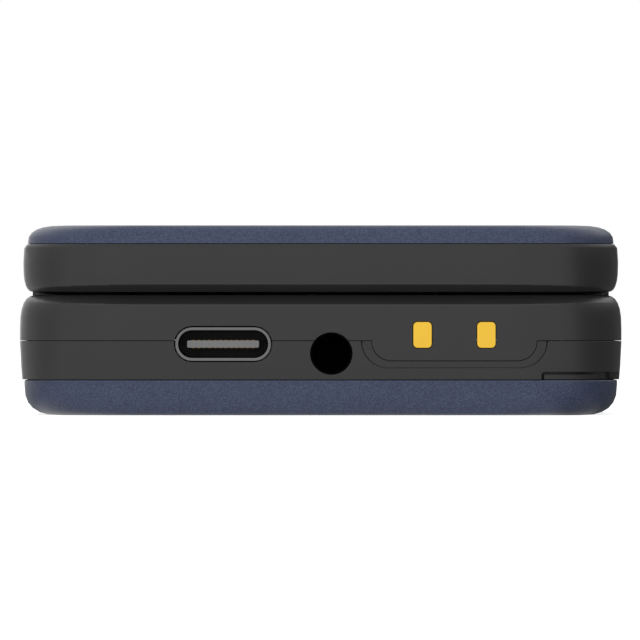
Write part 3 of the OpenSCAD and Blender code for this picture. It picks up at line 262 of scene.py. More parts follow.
def noise(at, per_mm, detail):
    """A cloudy value from 0 to 1, with per_mm clouds to a millimetre."""
    return at.node("ShaderNodeTexNoise", {}, {"Vector": at, "Scale": per_mm / MM, "Detail": detail})


def bump(at, height, deep, strength):
    """The normal of a surface that rises by deep millimetres where height is 1."""
    return at.node("ShaderNodeBump", {}, {"Height": height, "Distance": deep * MM,
                                          "Strength": strength})


def rubbed(at, colour, by, to=(0.11, 0.11, 0.11)):
    """Lets a colour go some way to another one along the edges."""
    worn = at.node("ShaderNodeAttribute", {"attribute_name": "edge"}, out=2) * by
    return worn.mix(colour, to)


def finish(name, paint, **fixed):
    """A Principled material: paint(at) gives what varies, fixed gives what is even."""
    material = bpy.data.materials.new(name)
    material.use_nodes = True
    tree = material.node_tree
    shader = tree.nodes["Principled BSDF"]
    for key, value in fixed.items():
        shader.inputs[key.replace("_", " ")].default_value = value
    at = Wire(tree).node("ShaderNodeTexCoord", out=3)
    for key, value in paint(at).items():
        tree.links.new(value.socket, shader.inputs[key.replace("_", " ")])
    return material


print("shader helpers ready")

# %% [markdown]
# The covers are sprayed with a dark blue satin paint that has fine metal flakes in it. Voronoi
# cells a tenth of a millimetre across give each flake its own brightness; a slow noise makes the
# coat a touch uneven, and a very low bump gives the grain of sprayed paint. The lacquer is matt, so
# it mirrors little face on and turns white only along the outline, where the light grazes it.

# %% Finish: blue flake paint
MATT = 0.36  # a specular level below the usual 0.5, for surfaces that mirror little face on


def paint_cover(at):
    cells = at.node("ShaderNodeTexVoronoi", {}, {"Vector": at, "Scale": 11.0 / MM}, out=1)
    flakes = cells.split("Color")
    fine = noise(at, per_mm=14.0, detail=1.0)
    cloud = noise(at, per_mm=0.2, detail=3.0)
    # flakes, grain and clouds each swing the brightness round its middle by a share of their own
    bright = (flakes - 0.5) * 0.42 + (fine - 0.5) * 0.5 + (cloud - 0.5) * 0.12 + 0.5
    shades = [(0.0, (0.007, 0.010, 0.025)), (0.5, (0.0316, 0.0420, 0.0815)),
              (1.0, (0.080, 0.098, 0.160))]
    colour = at.node("ShaderNodeValToRGB", {"stops": shades}, {0: bright})
    return {"Base Color": rubbed(at, colour, by=0.25, to=(0.13, 0.15, 0.21)),
            "Roughness": cloud.span(0.28, 0.38),
            "Normal": bump(at, fine + flakes * 0.5, deep=0.004, strength=0.5)}


cover_paint = finish("cover_paint", paint_cover, Specular_IOR_Level=MATT)

# %% [markdown]
# The housings are moulded in dark grey plastic from a spark-eroded tool, which leaves a fine even
# grain. Moulded colour is never quite even, so a slow noise moves both colour and roughness a
# little, and a fine one lifts the surface by a few thousandths of a millimetre.

# %% Finish: grey moulded plastic
def paint_case(at):
    cloud = noise(at, per_mm=0.12, detail=4.0)
    grain = noise(at, per_mm=7.0, detail=2.0)
    colour = cloud.mix((0.0182, 0.0182, 0.0183), (0.0207, 0.0207, 0.0207))
    return {"Base Color": rubbed(at, colour, by=0.06),
            "Roughness": cloud.span(0.26, 0.36) + (grain - 0.5) * 0.06,
            "Normal": bump(at, grain, deep=0.004, strength=0.4)}


case_plastic = finish("case_plastic", paint_case, Specular_IOR_Level=MATT)

# %% [markdown]
# The keys, sockets, rubber feet and the battery's jacket differ in little but colour and gloss. One
# function writes them all: it takes the darkest and the lightest tone and the mean roughness. The
# insides of the sockets are painted shade: black plastic darkened to near black, with a very low
# specular level, because hardly any light comes back out of a deep hole. The tongue of the charging
# socket is painted near black too, as shade of the deep socket, and only its front edge keeps a
# lighter grey rim.

# %% Finish: the other plastics and rubbers
def paint_plain(low, high, rough):
    """A moulded finish between two colours, with a roughness about rough."""
    def paint(at):
        cloud = noise(at, per_mm=0.3, detail=3.0)
        grain = noise(at, per_mm=6.0, detail=2.0)
        return {"Base Color": cloud.mix(low, high),
                "Roughness": cloud.span(rough - 0.06, rough + 0.06),
                "Normal": bump(at, grain, deep=0.004, strength=0.5)}
    return paint


TONGUE_SHADE_END = -52.9  # lighter in front of this y, painted near black as shade behind


def paint_tongue(at):
    """Lighter grey at the front edge, painted near black further in as shade of the deep socket."""
    # the deep part of the tongue is painted shade, near black; only the front edge keeps a lighter
    # grey
    rim = at.split("XYZ", 1) < TONGUE_SHADE_END * MM
    grain = noise(at, per_mm=6.0, detail=2.0)
    return {"Base Color": rim.mix((0.004, 0.004, 0.004), (0.17, 0.17, 0.172)),
            "Roughness": grain.span(0.36, 0.5),
            "Normal": bump(at, grain, deep=0.004, strength=0.5)}


key_plastic = finish("key_plastic", paint_plain(
    (0.020, 0.020, 0.022), (0.030, 0.030, 0.032), 0.34))
call_plastic = finish("call_plastic", paint_plain(
    (0.022, 0.030, 0.026), (0.030, 0.040, 0.034), 0.34))
end_plastic = finish("end_plastic", paint_plain(
    (0.032, 0.022, 0.022), (0.042, 0.030, 0.030), 0.34))
silicone = finish("silicone", paint_plain(
    (0.30, 0.30, 0.31), (0.38, 0.38, 0.39), 0.6))
bumper_rubber = finish("bumper_rubber", paint_plain(
    (0.007, 0.007, 0.007), (0.010, 0.010, 0.010), 0.7), Specular_IOR_Level=0.2)
# painted shade: black plastic darkened to near black, with little gloss, as the inside of a deep
# hole looks
socket_black_and_shade = finish("socket_black_and_shade", paint_plain(
    (0.0008, 0.0008, 0.0008), (0.0014, 0.0014, 0.0014), 0.6), Specular_IOR_Level=0.05)
black_plastic = finish("black_plastic", paint_plain(
    (0.006, 0.006, 0.006), (0.010, 0.010, 0.010), 0.5))
battery_can = finish("battery_can", paint_plain(
    (0.028, 0.030, 0.034), (0.045, 0.047, 0.052), 0.38))
tongue_plastic = finish("tongue_plastic", paint_tongue, Specular_IOR_Level=0.2)
print("plastics ready")

# %% [markdown]
# Metals take their colour from the reflection, so Metallic is 1 and the base colour is the metal's
# own. Rolled and drawn sheet has a direction: a noise squeezed along one axis gives the fine
# parallel lines, in the roughness and in a shallow bump. The amber film of the flexible circuit is
# rolled too, so it borrows the lines, without the metal and under a thin clear coat.

# %% Finish: metals and rolled film
def paint_rolled(low, high, rough):
    """A rolled finish between two colours, with a roughness about rough and lines along y."""
    def paint(at):
        stretched = at.node("ShaderNodeMapping", {}, {"Vector": at, "Scale": (1.0, 0.04, 1.0)})
        lines = noise(stretched, per_mm=9.0, detail=3.0)
        cloud = noise(at, per_mm=0.5, detail=3.0)
        return {"Base Color": cloud.mix(low, high),
                "Roughness": cloud.span(rough - 0.05, rough + 0.05) + (lines - 0.5) * 0.12,
                "Normal": bump(at, lines, deep=0.002, strength=0.5)}
    return paint


steel = finish("steel", paint_rolled(
    (0.52, 0.52, 0.53), (0.62, 0.62, 0.63), 0.3), Metallic=1.0)
socket_steel = finish("socket_steel", paint_rolled(
    (0.15, 0.15, 0.155), (0.19, 0.19, 0.195), 0.36), Metallic=1.0)
gold_plate = finish("gold_plate", paint_rolled(
    (0.86, 0.52, 0.055), (0.93, 0.60, 0.075), 0.34), Metallic=1.0)
magnet = finish("magnet", paint_rolled(
    (0.38, 0.38, 0.39), (0.50, 0.50, 0.50), 0.32), Metallic=1.0)
polyimide = finish("polyimide", paint_rolled(
    (0.45, 0.17, 0.03), (0.58, 0.25, 0.05), 0.32), Coat_Weight=0.4)
print("metals ready")

# %% [markdown]
# A circuit board is green solder mask over copper tracks, and a switched-off screen is near black
# with the faint grid of its cells. Both are straight lines at a fixed spacing, which is what the
# Brick texture draws: its mortar is the line, and its bricks keep a little of their own shade.

# %% Finish: boards and screens
def ruled(at, per_mm, line, wide, high, shade, offset):
    """1 on ruled lines, and 0 up to shade on the fields between them."""
    fields = at.node("ShaderNodeTexBrick", {"offset": offset}, {
        "Vector": at, "Scale": per_mm / MM, "Mortar Size": line, "Brick Width": wide,
        "Row Height": high, "Color1": (0, 0, 0, 1), "Color2": (shade, shade, shade, 1),
        "Mortar": (1, 1, 1, 1)})
    return fields.split("Color")


def paint_board(at):
    """Green solder mask over copper tracks, which show as slightly lighter straight bands."""
    tracks = ruled(at, per_mm=0.5, line=0.03, wide=1.4, high=0.4, shade=0.25, offset=0.5)
    grain = noise(at, per_mm=4.0, detail=2.0)
    return {"Base Color": tracks.mix((0.008, 0.06, 0.03), (0.02, 0.12, 0.06)),
            "Roughness": grain.span(0.28, 0.4),
            "Normal": bump(at, tracks, deep=0.02, strength=0.6)}


def paint_display(at):
    """A switched-off panel: near black, with the faint grid of its cells."""
    grid = ruled(at, per_mm=1.0, line=0.04, wide=0.25, high=0.25, shade=0.15, offset=0.0)
    cloud = noise(at, per_mm=0.05, detail=2.0)
    return {"Base Color": grid.mix((0.010, 0.012, 0.016), (0.018, 0.020, 0.024)),
            "Roughness": cloud.span(0.12, 0.2),
            "Normal": bump(at, cloud, deep=0.01, strength=0.3)}


board = finish("board", paint_board)
display = finish("display", paint_display, Specular_IOR_Level=0.1)
print("board and screens ready")

# %% [markdown]
# The windows are clear covers whose black borders are printed on the back. One clear body with a
# border in its colour does the same work with half the pieces, so each window's finish only needs a
# test of where the view is. The flash has a frosted lens, whose fine rings spread its light.

# %% Finish: windows and lenses
CAMERA_AT = (-8.0, 37.2)  # middle of the camera in the lid's cover, x and y in millimetres
FLASH_AT = (0.5, 37.2)  # and of the flash beside it


def paint_glass(inside):
    """Cover glass with a smear in its gloss; inside(x, y) is 1 where no black border is printed."""
    def paint(at):
        smear = noise(at, per_mm=0.15, detail=4.0)
        view = inside(at.split("XYZ", 0), at.split("XYZ", 1))
        clear = smear.mix((0.90, 0.92, 0.93), (0.94, 0.95, 0.95))
        return {"Base Color": view.mix((0.002, 0.002, 0.002), clear),
                "Roughness": smear.span(0.02, 0.07),
                "Normal": bump(at, smear, deep=0.004, strength=0.2)}
    return paint


def pane(x0, y0, wide, deep):
    """The test for a rectangular view, wide by deep millimetres, about the point x0, y0."""
    return lambda x, y: ((abs(x - x0 * MM) < wide / 2 * MM) * (abs(y - y0 * MM) < deep / 2 * MM))


def porthole(x0, y0, r):
    """The test for a round view of radius r millimetres about the point x0, y0."""
    return lambda x, y: ((x - x0 * MM) * (x - x0 * MM)
                         + (y - y0 * MM) * (y - y0 * MM)) < (r * MM) ** 2


def paint_flash(at):
    """A frosted lens with the fine rings that spread the light of the flash."""
    centred = at.node("ShaderNodeMapping", {}, {
        "Vector": at, "Location": (-FLASH_AT[0] * MM, -FLASH_AT[1] * MM, 0)})
    rings = at.node("ShaderNodeTexWave", {"wave_type": "RINGS", "rings_direction": "Z"},
                    {"Vector": centred, "Scale": 0.9 / MM}, out=1)
    cloud = noise(at, per_mm=0.8, detail=2.0)
    return {"Base Color": cloud.mix((0.86, 0.86, 0.80), (0.93, 0.93, 0.88)),
            "Roughness": cloud.span(0.22, 0.34),
            "Normal": bump(at, rings, deep=0.05, strength=0.7)}


see_through = dict(Transmission_Weight=1.0, IOR=1.38)
display_pane = finish("display_pane", paint_glass(pane(x0=0, y0=-1, wide=44, deep=59)),
                      **see_through)
outer_pane = finish("outer_pane", paint_glass(pane(x0=0, y0=8, wide=32, deep=24)), **see_through)
camera_pane = finish("camera_pane", paint_glass(porthole(*CAMERA_AT, r=2.5)), **see_through)
flash_glass = finish("flash_glass", paint_flash, Transmission_Weight=0.8, IOR=1.5)
print("windows ready")

# %% [markdown]
# The legends on the keys are plain inks: a warm white, and the green and red that everyone knows
# from the call key and the end key.

# %% Finish: printed marks
legend_ink = finish("legend_ink", paint_plain((0.62, 0.63, 0.62), (0.72, 0.73, 0.72), 0.4))
call_ink = finish("call_ink", paint_plain((0.03, 0.42, 0.10), (0.04, 0.50, 0.13), 0.4))
end_ink = finish("end_ink", paint_plain((0.55, 0.03, 0.02), (0.64, 0.045, 0.03), 0.4))
print("finishes:", len(bpy.data.materials))

# %% [markdown]
# The five big shells carry the phone's shape. Their solids already hold the rounded plan and the
# soft rise of the covers, so each is dressed with a softened copy: the seams stay where the
# mouldings part, and a radius of four hundredths of a millimetre breaks their edges. Three lips are
# rounder than that: the rim of the battery cover, and both lips of the gap at the charging end that
# a finger opens the lid by.

# %% Shells
SHELL_EDGE = 0.04
END_Y = -53.0  # edges nearer than this belong to the charging end


def on_the_end(low, high):
    """The test for an edge of the charging end between two heights in millimetres."""
    return lambda at: at.y < END_Y and low < at.z < high


dress("battery_cover", "cover_paint", cover_paint, SHELL_EDGE, (0.12, lambda at: 3.0 < at.z < 3.3))
dress("base_rear_housing", "case_plastic", case_plastic, SHELL_EDGE)
dress("base_front_housing", "case_plastic", case_plastic, SHELL_EDGE, (0.1, on_the_end(10.0, 10.6)))
dress("lid_housing", "case_plastic", case_plastic, SHELL_EDGE, (0.06, on_the_end(12.0, 12.4)))
dress("lid_outer_cover", "cover_paint", cover_paint, SHELL_EDGE)

# %% [markdown]
# Keys are what fingers feel, so their edges are rounded twice as far as those of the shells. Only
# the call key and the end key have a tint of their own, and the key in the middle of the ring is a
# cap of bare metal.

# %% Keys
KEY_EDGE, SMALL_KEY_EDGE = 0.08, 0.06
for name in ("key_1 key_2 key_3 key_4 key_5 key_6 key_7 key_8 key_9 key_star key_0 key_hash "
             "soft_key_left soft_key_right nav_ring").split():
    dress(name, "key_plastic", key_plastic, KEY_EDGE)
dress("volume_up_key", "key_plastic", key_plastic, SMALL_KEY_EDGE)
dress("volume_down_key", "key_plastic", key_plastic, SMALL_KEY_EDGE)
dress("call_key", "call_plastic", call_plastic, KEY_EDGE)
dress("end_key", "end_plastic", end_plastic, KEY_EDGE)
dress("ok_key", "steel", steel, SMALL_KEY_EDGE)

# %% [markdown]
# The sockets sit deep in the charging end and are seen face on. What tells them apart is the rim:
# drawn steel round the flat socket, black round the audio socket, whose plastic is darkened to near
# black as painted shade of its bore, and two gold contacts that stand a little proud so that a
# charging cradle can touch them.

# %% Charging end
dress("usb_shell", "socket_steel", socket_steel, 0.05)
dress("usb_tongue", "tongue_plastic", tongue_plastic, 0.06)
# the audio socket in the near-black painted shade of its bore
dress("audio_jack", "black_plastic", socket_black_and_shade, 0.04)
dress("charging_contacts", "gold_plate", gold_plate, 0.06)
dress("contact_springs", "gold_plate", gold_plate, 0.02)

# %% [markdown]
# Cut glass gets a ground edge, which is the bright line round every window. The panels behind the
# windows are plain plates, and their finish does the rest.

# %% Screens and windows
GLASS_EDGE, PANEL_EDGE = 0.08, 0.05
dress("display_glass", "clear_glass", display_pane, GLASS_EDGE)
dress("display_panel", "display", display, PANEL_EDGE)
dress("outer_window", "clear_glass", outer_pane, GLASS_EDGE)
dress("outer_panel", "display", display, PANEL_EDGE)
dress("camera_window", "clear_glass", camera_pane, GLASS_EDGE)
dress("flash_lens", "clear_glass", flash_glass, 0.06)

# %% [markdown]
# The pieces inside show only when the phone is taken apart, or through the battery's bay once its
# cover is off. They are small and made in many ways, yet each has a broken edge, so one table of
# name, slot and finish dresses them all.

# %% Inner pieces
for name, slot, material in [
        ("battery", "battery_can", battery_can), ("battery_contacts", "gold_plate", gold_plate),
        ("main_board", "board", board), ("shield_cans", "steel", steel),
        ("dome_sheet", "steel", steel), ("keypad_mat", "silicone", silicone),
        ("microphone", "steel", steel), ("loudspeaker", "black_plastic", black_plastic),
        ("vibration_motor", "steel", steel), ("card_holder", "steel", steel),
        ("hinge_shaft", "steel", steel), ("hinge_bush", "steel", steel),
        ("base_flex", "polyimide", polyimide), ("hinge_cartridge", "steel", steel),
        ("lid_flex", "polyimide", polyimide), ("lid_board", "board", board),
        ("closing_magnet", "magnet", magnet), ("earpiece", "black_plastic", black_plastic),
        ("lid_bumpers", "bumper_rubber", bumper_rubber)]:
    dress(name, slot, material, 0.03)

# %% [markdown]
# The camera looks out through a stepped black funnel that keeps stray light off its lens. A turned
# shape like this is one profile swept round an axis, so Spin makes it, and the lens is a small dome
# spun the same way. The square body of the module is drawn as the solid has it.

# %% Camera module
MODULE_SIDE, MODULE_LOW, MODULE_HIGH = 7.6, 13.05, 16.2
# radius and height of the funnel's corners: up its outside, over its rim and down its steps
FUNNEL = [(0, 16.1), (2.7, 16.1), (2.7, 16.95), (2.64, 17.01), (2.35, 17.01), (2.2, 16.85),
          (1.9, 16.85), (1.75, 16.62), (1.45, 16.62), (1.3, 16.4), (0, 16.4)]
LENS_R, LENS_LOW, LENS_RISE = 1.2, 16.42, 0.24
LENS_STEPS = 8


def turned(bm, profile):
    """Spins a profile of (radius, height) millimetres round the camera's upright axis."""
    axis = Vector((*CAMERA_AT, 0)) * MM
    ring = [bm.verts.new(axis + Vector((r * MM, 0, z * MM))) for r, z in profile]
    lines = [bm.edges.new(pair) for pair in zip(ring, ring[1:])]
    bmesh.ops.spin(bm, geom=ring + lines, cent=axis, axis=(0, 0, 1), angle=math.tau, steps=48,
                   use_merge=True)
    bmesh.ops.remove_doubles(bm, verts=bm.verts, dist=0.002 * MM)


def closed_mesh(bm, name):
    """Turns every face outwards and hands the mesh over, smooth but for its sharp corners."""
    bmesh.ops.recalc_face_normals(bm, faces=bm.faces)
    return shaded(bm, name)


module = bmesh.new()
middle = Vector((*CAMERA_AT, (MODULE_LOW + MODULE_HIGH) / 2)) * MM
size = Vector((MODULE_SIDE, MODULE_SIDE, MODULE_HIGH - MODULE_LOW)) * MM
bmesh.ops.create_cube(module, size=1.0,
                      matrix=Matrix.Translation(middle) @ Matrix.Diagonal((*size, 1)))
bmesh.ops.bevel(module, geom=module.edges[:], offset=0.15 * MM, segments=2, affect="EDGES")
turned(module, FUNNEL)
piece(closed_mesh(module, "camera_body"), "camera_body", "lid", "black_plastic", black_plastic,
      "camera_module")
lens = bmesh.new()
turns = [math.pi / 2 * step / LENS_STEPS for step in range(LENS_STEPS + 1)]
turned(lens, [(0, LENS_LOW)] + [(LENS_R * math.cos(a), LENS_LOW + LENS_RISE * math.sin(a))
                                for a in turns])
piece(closed_mesh(lens, "camera_lens"), "camera_lens", "lid", "clear_glass", flash_glass)
print("camera: funnel of 3 steps and a lens")

# %% [markdown]
# Screws, contact pads and the woven mesh over a loudspeaker are one shape many times over. Geometry
# Nodes grow them: a tree builds the shape from its named sizes and puts a copy on each point of a
# small start mesh. The same Wire class writes these trees too.

# %% Helpers: trees that grow what repeats
GROWN_SHARP = math.radians(35)  # a grown shape shades smooth where it turns by less than this


def open_tree(name, *sizes):
    """Starts a Geometry Nodes tree with a named input for each size.

    It hands back the tree, the wires of all its inputs by name, and a list of the sizes' wires.
    """
    tree = bpy.data.node_groups.new(name, "GeometryNodeTree")
    tree.interface.new_socket("Points", in_out="INPUT", socket_type="NodeSocketGeometry")
    for label in sizes:
        tree.interface.new_socket(label, in_out="INPUT", socket_type="NodeSocketFloat")
    tree.interface.new_socket("Finish", in_out="INPUT", socket_type="NodeSocketMaterial")
    tree.interface.new_socket("Pieces", in_out="OUTPUT", socket_type="NodeSocketGeometry")
    sockets = tree.nodes.new("NodeGroupInput").outputs
    given = {socket.name: Wire(tree, socket) for socket in sockets if socket.name}
    return tree, given, [given[label] for label in sizes]


def close_tree(tree, given, shape):
    """Copies shape to every point, makes the copies real and gives them their finish."""
    copies = shape.node("GeometryNodeInstanceOnPoints", {},
                        {"Points": given["Points"], "Instance": shape})
    solid = shape.node("GeometryNodeRealizeInstances", {}, {0: copies})
    done = shape.node("GeometryNodeSetMaterial", {},
                      {"Geometry": solid, "Material": given["Finish"]})
    tree.links.new(done.socket, tree.nodes.new("NodeGroupOutput").inputs[0])
    return tree


def triple(at, x=0.0, y=0.0, z=0.0):
    """Three numbers or wires as one vector, in the tree that at is in."""
    return at.node("ShaderNodeCombineXYZ", {}, {0: x, 1: y, 2: z})


def box(size):
    """A block of the size that a vector gives, about the origin."""
    return size.node("GeometryNodeMeshCube", {}, {"Size": size})


def cylinder(corners, radius, length):
    """An upright cylinder about the origin."""
    return radius.node("GeometryNodeMeshCylinder", {},
                       {"Vertices": corners, "Radius": radius, "Depth": length})


def moved(shape, z, turn=0.0):
    """A shape raised by z and turned about the upright axis."""
    return shape.node("GeometryNodeTransform", {}, {"Geometry": shape, "Rotation": (0, 0, turn),
                                                    "Translation": triple(shape, z=z)})


def joined(*shapes):
    """Several shapes as one."""
    return shapes[0].node("GeometryNodeJoinGeometry", {}, {0: list(shapes)})


def grown(name, tree, points, material, **sizes):
    """Runs a tree on points given in millimetres and hands back the plain mesh."""
    start = bpy.data.meshes.new(name)
    start.from_pydata([[part * MM for part in point] for point in points], [], [])
    holder = bpy.data.objects.new(name, start)
    bpy.context.scene.collection.objects.link(holder)
    step = holder.modifiers.new(name, "NODES")
    step.node_group = tree
    wanted = {label.replace("_", " "): float(value) for label, value in sizes.items()}
    wanted["Finish"] = material
    for item in tree.interface.items_tree:
        if item.in_out == "INPUT" and item.name in wanted:
            step[item.identifier] = wanted[item.name]
    graph = bpy.context.evaluated_depsgraph_get()
    mesh = bpy.data.meshes.new_from_object(holder.evaluated_get(graph), depsgraph=graph)
    bpy.data.objects.remove(holder)
    mesh.polygons.foreach_set("material_index", [0] * len(mesh.polygons))
    mesh.polygons.foreach_set("use_smooth", [True] * len(mesh.polygons))
    mesh.set_sharp_from_angle(angle=GROWN_SHARP)
    mesh.name = name
    print(f"{name}: {len(mesh.polygons)} faces from {len(points)} points")
    return mesh


# %% [markdown]
# The halves of each shell are held by small cross-head screws for plastic. A screw is a flat head
# with a cross pressed into it, a core, and a thread: a triangle swept along a spiral whose turns
# are all alike.

# %% Screws
ARM_LONG, ARM_WIDE = 1.3, 0.26  # the cross in the head, as shares of the head's radius
CROSS_LIFT = -0.55  # where the middle of the cross lies, as a share of the head's height
CORE, RIDGE = 0.78, 0.42  # the core's share of the thread's radius, the ridge's of its pitch
THREADED = 0.9  # how much of the length has a thread


def screw_tree():
    """A cross-head screw that hangs from the middle of its head, with its shank upwards."""
    tree, given, (head_r, head_h, thread_r, length, pitch) = open_tree(
        "cross_head_screw", "Head radius", "Head height", "Thread radius", "Length", "Pitch")
    arms = [moved(box(triple(head_r, head_r * x, head_r * y, head_h)), head_h * CROSS_LIFT)
            for x, y in ((ARM_LONG, ARM_WIDE), (ARM_WIDE, ARM_LONG))]
    head = head_r.node("GeometryNodeMeshBoolean", {"operation": "DIFFERENCE", "solver": "EXACT"},
                       {0: cylinder(40, head_r, head_h), 1: arms})
    core = cylinder(24, thread_r * CORE, length)
    ridge = pitch * RIDGE
    spiral = head_r.node("GeometryNodeCurveSpiral", {}, {
        "Resolution": 20, "Rotations": length / pitch * THREADED, "Height": length * THREADED,
        "Start Radius": thread_r - ridge, "End Radius": thread_r - ridge})
    profile = head_r.node("GeometryNodeCurvePrimitiveCircle", {},
                          {"Resolution": 3, "Radius": ridge})
    thread = head_r.node("GeometryNodeCurveToMesh", {}, {
        "Curve": spiral, "Profile Curve": profile, "Fill Caps": True})
    shank = joined(moved(core, (head_h + length) * 0.5),
                   moved(thread, head_h * 0.5 + length * 0.06))
    return close_tree(tree, given, joined(head, shank))


screws = screw_tree()
# node, distance from the middle line, y of both rows, height of the heads, length of the shanks
for name, aside, rows, z, length in [("base_screws", 22.30, (-47.5, 40.5), 2.05, 6.05),
                                     ("lid_screws", 20.06, (-45.5, 41.0), 12.60, 3.2)]:
    mesh = grown(name + "_cut", screws, [(x, y, z) for x in (-aside, aside) for y in rows], steel,
                 Head_radius=1.35 * MM, Head_height=0.6 * MM, Thread_radius=0.7 * MM,
                 Length=length * MM, Pitch=0.5 * MM)
    piece(mesh, name + "_cut", body_of_node[name], "steel", steel, name)

# %% [markdown]
# The tongue of the charging socket carries twelve gold pads on each face, half a millimetre apart.
# Behind the slots of the two sound openings lies a woven steel mesh that keeps dust out: wires side
# by side, and a second layer of wires across them.

# %% Contact pads and dust meshes
def row_of_bars(count, pitch, size):
    """Bars of one size, count of them, pitch apart, centred on the origin."""
    line = pitch.node("GeometryNodeMeshLine", {"mode": "OFFSET"}, {
        "Count": count, "Start Location": triple(pitch, (count - 1) * pitch * -0.5),
        "Offset": triple(pitch, pitch)})
    return pitch.node("GeometryNodeInstanceOnPoints", {}, {
        "Points": line, "Instance": box(triple(pitch, *size))})


def pads_tree():
    """A row of flat gold pads side by side."""
    tree, given, (count, pitch, width, length, thickness) = open_tree(
        "row_of_pads", "Count", "Pitch", "Width", "Length", "Thickness")
    return close_tree(tree, given, row_of_bars(count, pitch, (width, length, thickness)))


def weave_tree():
    """Wires side by side along y, with a second layer along x above them."""
    tree, given, (wide, deep, pitch, wire) = open_tree(
        "woven_mesh", "Wide", "Deep", "Pitch", "Wire")
    down = row_of_bars(wide / pitch, pitch, (wire, deep, wire))
    across = row_of_bars(deep / pitch, pitch, (wire, wide, wire))
    return close_tree(tree, given, joined(moved(down, wire * -0.3),
                                          moved(across, wire * 0.3, turn=math.pi / 2)))


TONGUE_AT = (-9.051, -49.9, 6.62)  # middle of the pads' rows on the tongue
PAD_LIFT = 0.352  # and how far above and below it the pads lie
places = [(*TONGUE_AT[:2], TONGUE_AT[2] + lift) for lift in (-PAD_LIFT, PAD_LIFT)]
pads = grown("usb_pads", pads_tree(), places, gold_plate, Count=12, Pitch=0.5 * MM,
             Width=0.26 * MM, Length=4.6 * MM, Thickness=0.03 * MM)
piece(pads, "usb_pads", "base", "gold_plate", gold_plate)
weave = weave_tree()
for name, body, place, wide, deep, pitch in [
        ("speaker_mesh", "base", (-12.75, 33.9, 2.2), 14.0, 9.6, 0.32),
        ("earpiece_mesh", "lid", (0, -46.5, 12.86), 9.2, 1.25, 0.25)]:
    mesh = grown(name, weave, [place], steel, Wide=wide * MM, Deep=deep * MM, Pitch=pitch * MM,
                 Wire=0.05 * MM)
    piece(mesh, name, body, "steel", steel)

# %% [markdown]
# The legends are laser-cut through the paint of the keys, and the light silicone shows there. Each
# is real geometry a few hundredths of a millimetre proud: digits from a text object that is made a
# mesh before it is placed, and plain signs drawn as outlines.

# %% Helpers: legends and signs
PROUD = 0.02
TYPE_SIZE = 1.4  # the size of the type for digits of height 1


def key_top(node):
    """The middle of a key's top face, in metres."""
    low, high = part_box(node)
    return Vector(((low[0] + high[0]) / 2, (low[1] + high[1]) / 2, high[2]))


def digits(word, name, tall):
    """A word as a closed mesh, tall millimetres high and centred on the origin."""
    text = bpy.data.curves.new(name, "FONT")
    text.body, text.size, text.extrude = word, tall * TYPE_SIZE * MM, PROUD * MM
    text.align_x, text.resolution_u = "CENTER", 6
    mesh = evaluated(text, name, [])
    weld(mesh)
    ys = [v.co.y for v in mesh.vertices]
    mesh.transform(Matrix.Translation((0, -(min(ys) + max(ys)) / 2, 0)))
    return mesh


def sign(outlines, name):
    """Closed outlines in millimetres, drawn as plates that stand PROUD of the surface."""
    bm = bmesh.new()
    for outline in outlines:
        face = bm.faces.new([bm.verts.new((x * MM, y * MM, -PROUD * MM)) for x, y in outline])
        risen = bmesh.ops.extrude_face_region(bm, geom=[face], use_keep_orig=True)["geom"]
        bmesh.ops.translate(bm, vec=(0, 0, 2 * PROUD * MM),
                            verts=[v for v in risen if isinstance(v, bmesh.types.BMVert)])
    bmesh.ops.recalc_face_normals(bm, faces=bm.faces)
    mesh = bpy.data.meshes.new(name)
    bm.to_mesh(mesh)
    bm.free()
    return mesh


def bent(radius, first, last, steps=12):
    """Points on an arc, angles in degrees."""
    turns = [math.radians(first + (last - first) * k / steps) for k in range(steps + 1)]
    return [(radius * math.cos(a), radius * math.sin(a)) for a in turns]


def handset(tilt):
    """A telephone handset: a bow with a pad at each end, turned by tilt degrees."""
    outline = (bent(3.5, 142, 38) + bent(2.1, 38, 60, 3) + bent(2.75, 60, 120)
               + bent(2.1, 120, 142, 3))
    turn = Matrix.Rotation(math.radians(tilt), 2)
    return [tuple(turn @ Vector((x, y - 2.6))) for x, y in outline]


# %% [markdown]
# Every number key has its digit, star or hash, and the soft keys a plain dash. The handset stands
# tilted on the call key and lies flat on the end key, and the ring has an arrow head at each of its
# four sides.

# %% Legends on the keys
TALL = {"*": 7.5, "#": 3.2}  # heights to ask for; the star fills little of its height
DIGIT_TALL = 4.0
words = {f"key_{n}": str(n) for n in range(10)}
words.update(key_star="*", key_hash="#")
for node, word in words.items():
    mesh = digits(word, node + "_legend", TALL.get(word, DIGIT_TALL))
    mesh.transform(Matrix.Translation(key_top(node)))
    piece(mesh, node + "_legend", body_of_node[node], "silicone", legend_ink)

DASH_HALF, DASH_R = 1.3, 0.28
dash = ([(x + DASH_HALF, y) for x, y in bent(DASH_R, -90, 90)]
        + [(x - DASH_HALF, y) for x, y in bent(DASH_R, 90, 270)])
FOOT, TIP, HALF_WIDE = 7.3, 8.2, 0.5  # an arrow's reach from the ring's middle, and half its foot
arrows = [[(FOOT * u + HALF_WIDE * v, FOOT * v - HALF_WIDE * u), (TIP * u, TIP * v),
           (FOOT * u - HALF_WIDE * v, FOOT * v + HALF_WIDE * u)]
          for u, v in ((1, 0), (0, 1), (-1, 0), (0, -1))]
for node, outlines, slot, material in [
        ("soft_key_left", [dash], "silicone", legend_ink),
        ("soft_key_right", [dash], "silicone", legend_ink),
        ("call_key", [handset(42)], "call_plastic", call_ink),
        ("end_key", [handset(0)], "end_plastic", end_ink),
        ("nav_ring", arrows, "silicone", legend_ink)]:
    mesh = sign(outlines, node + "_sign")
    mesh.transform(Matrix.Translation(key_top(node)))
    piece(mesh, node + "_sign", body_of_node[node], slot, material)
print("legends:", len(words), "and 5 signs")

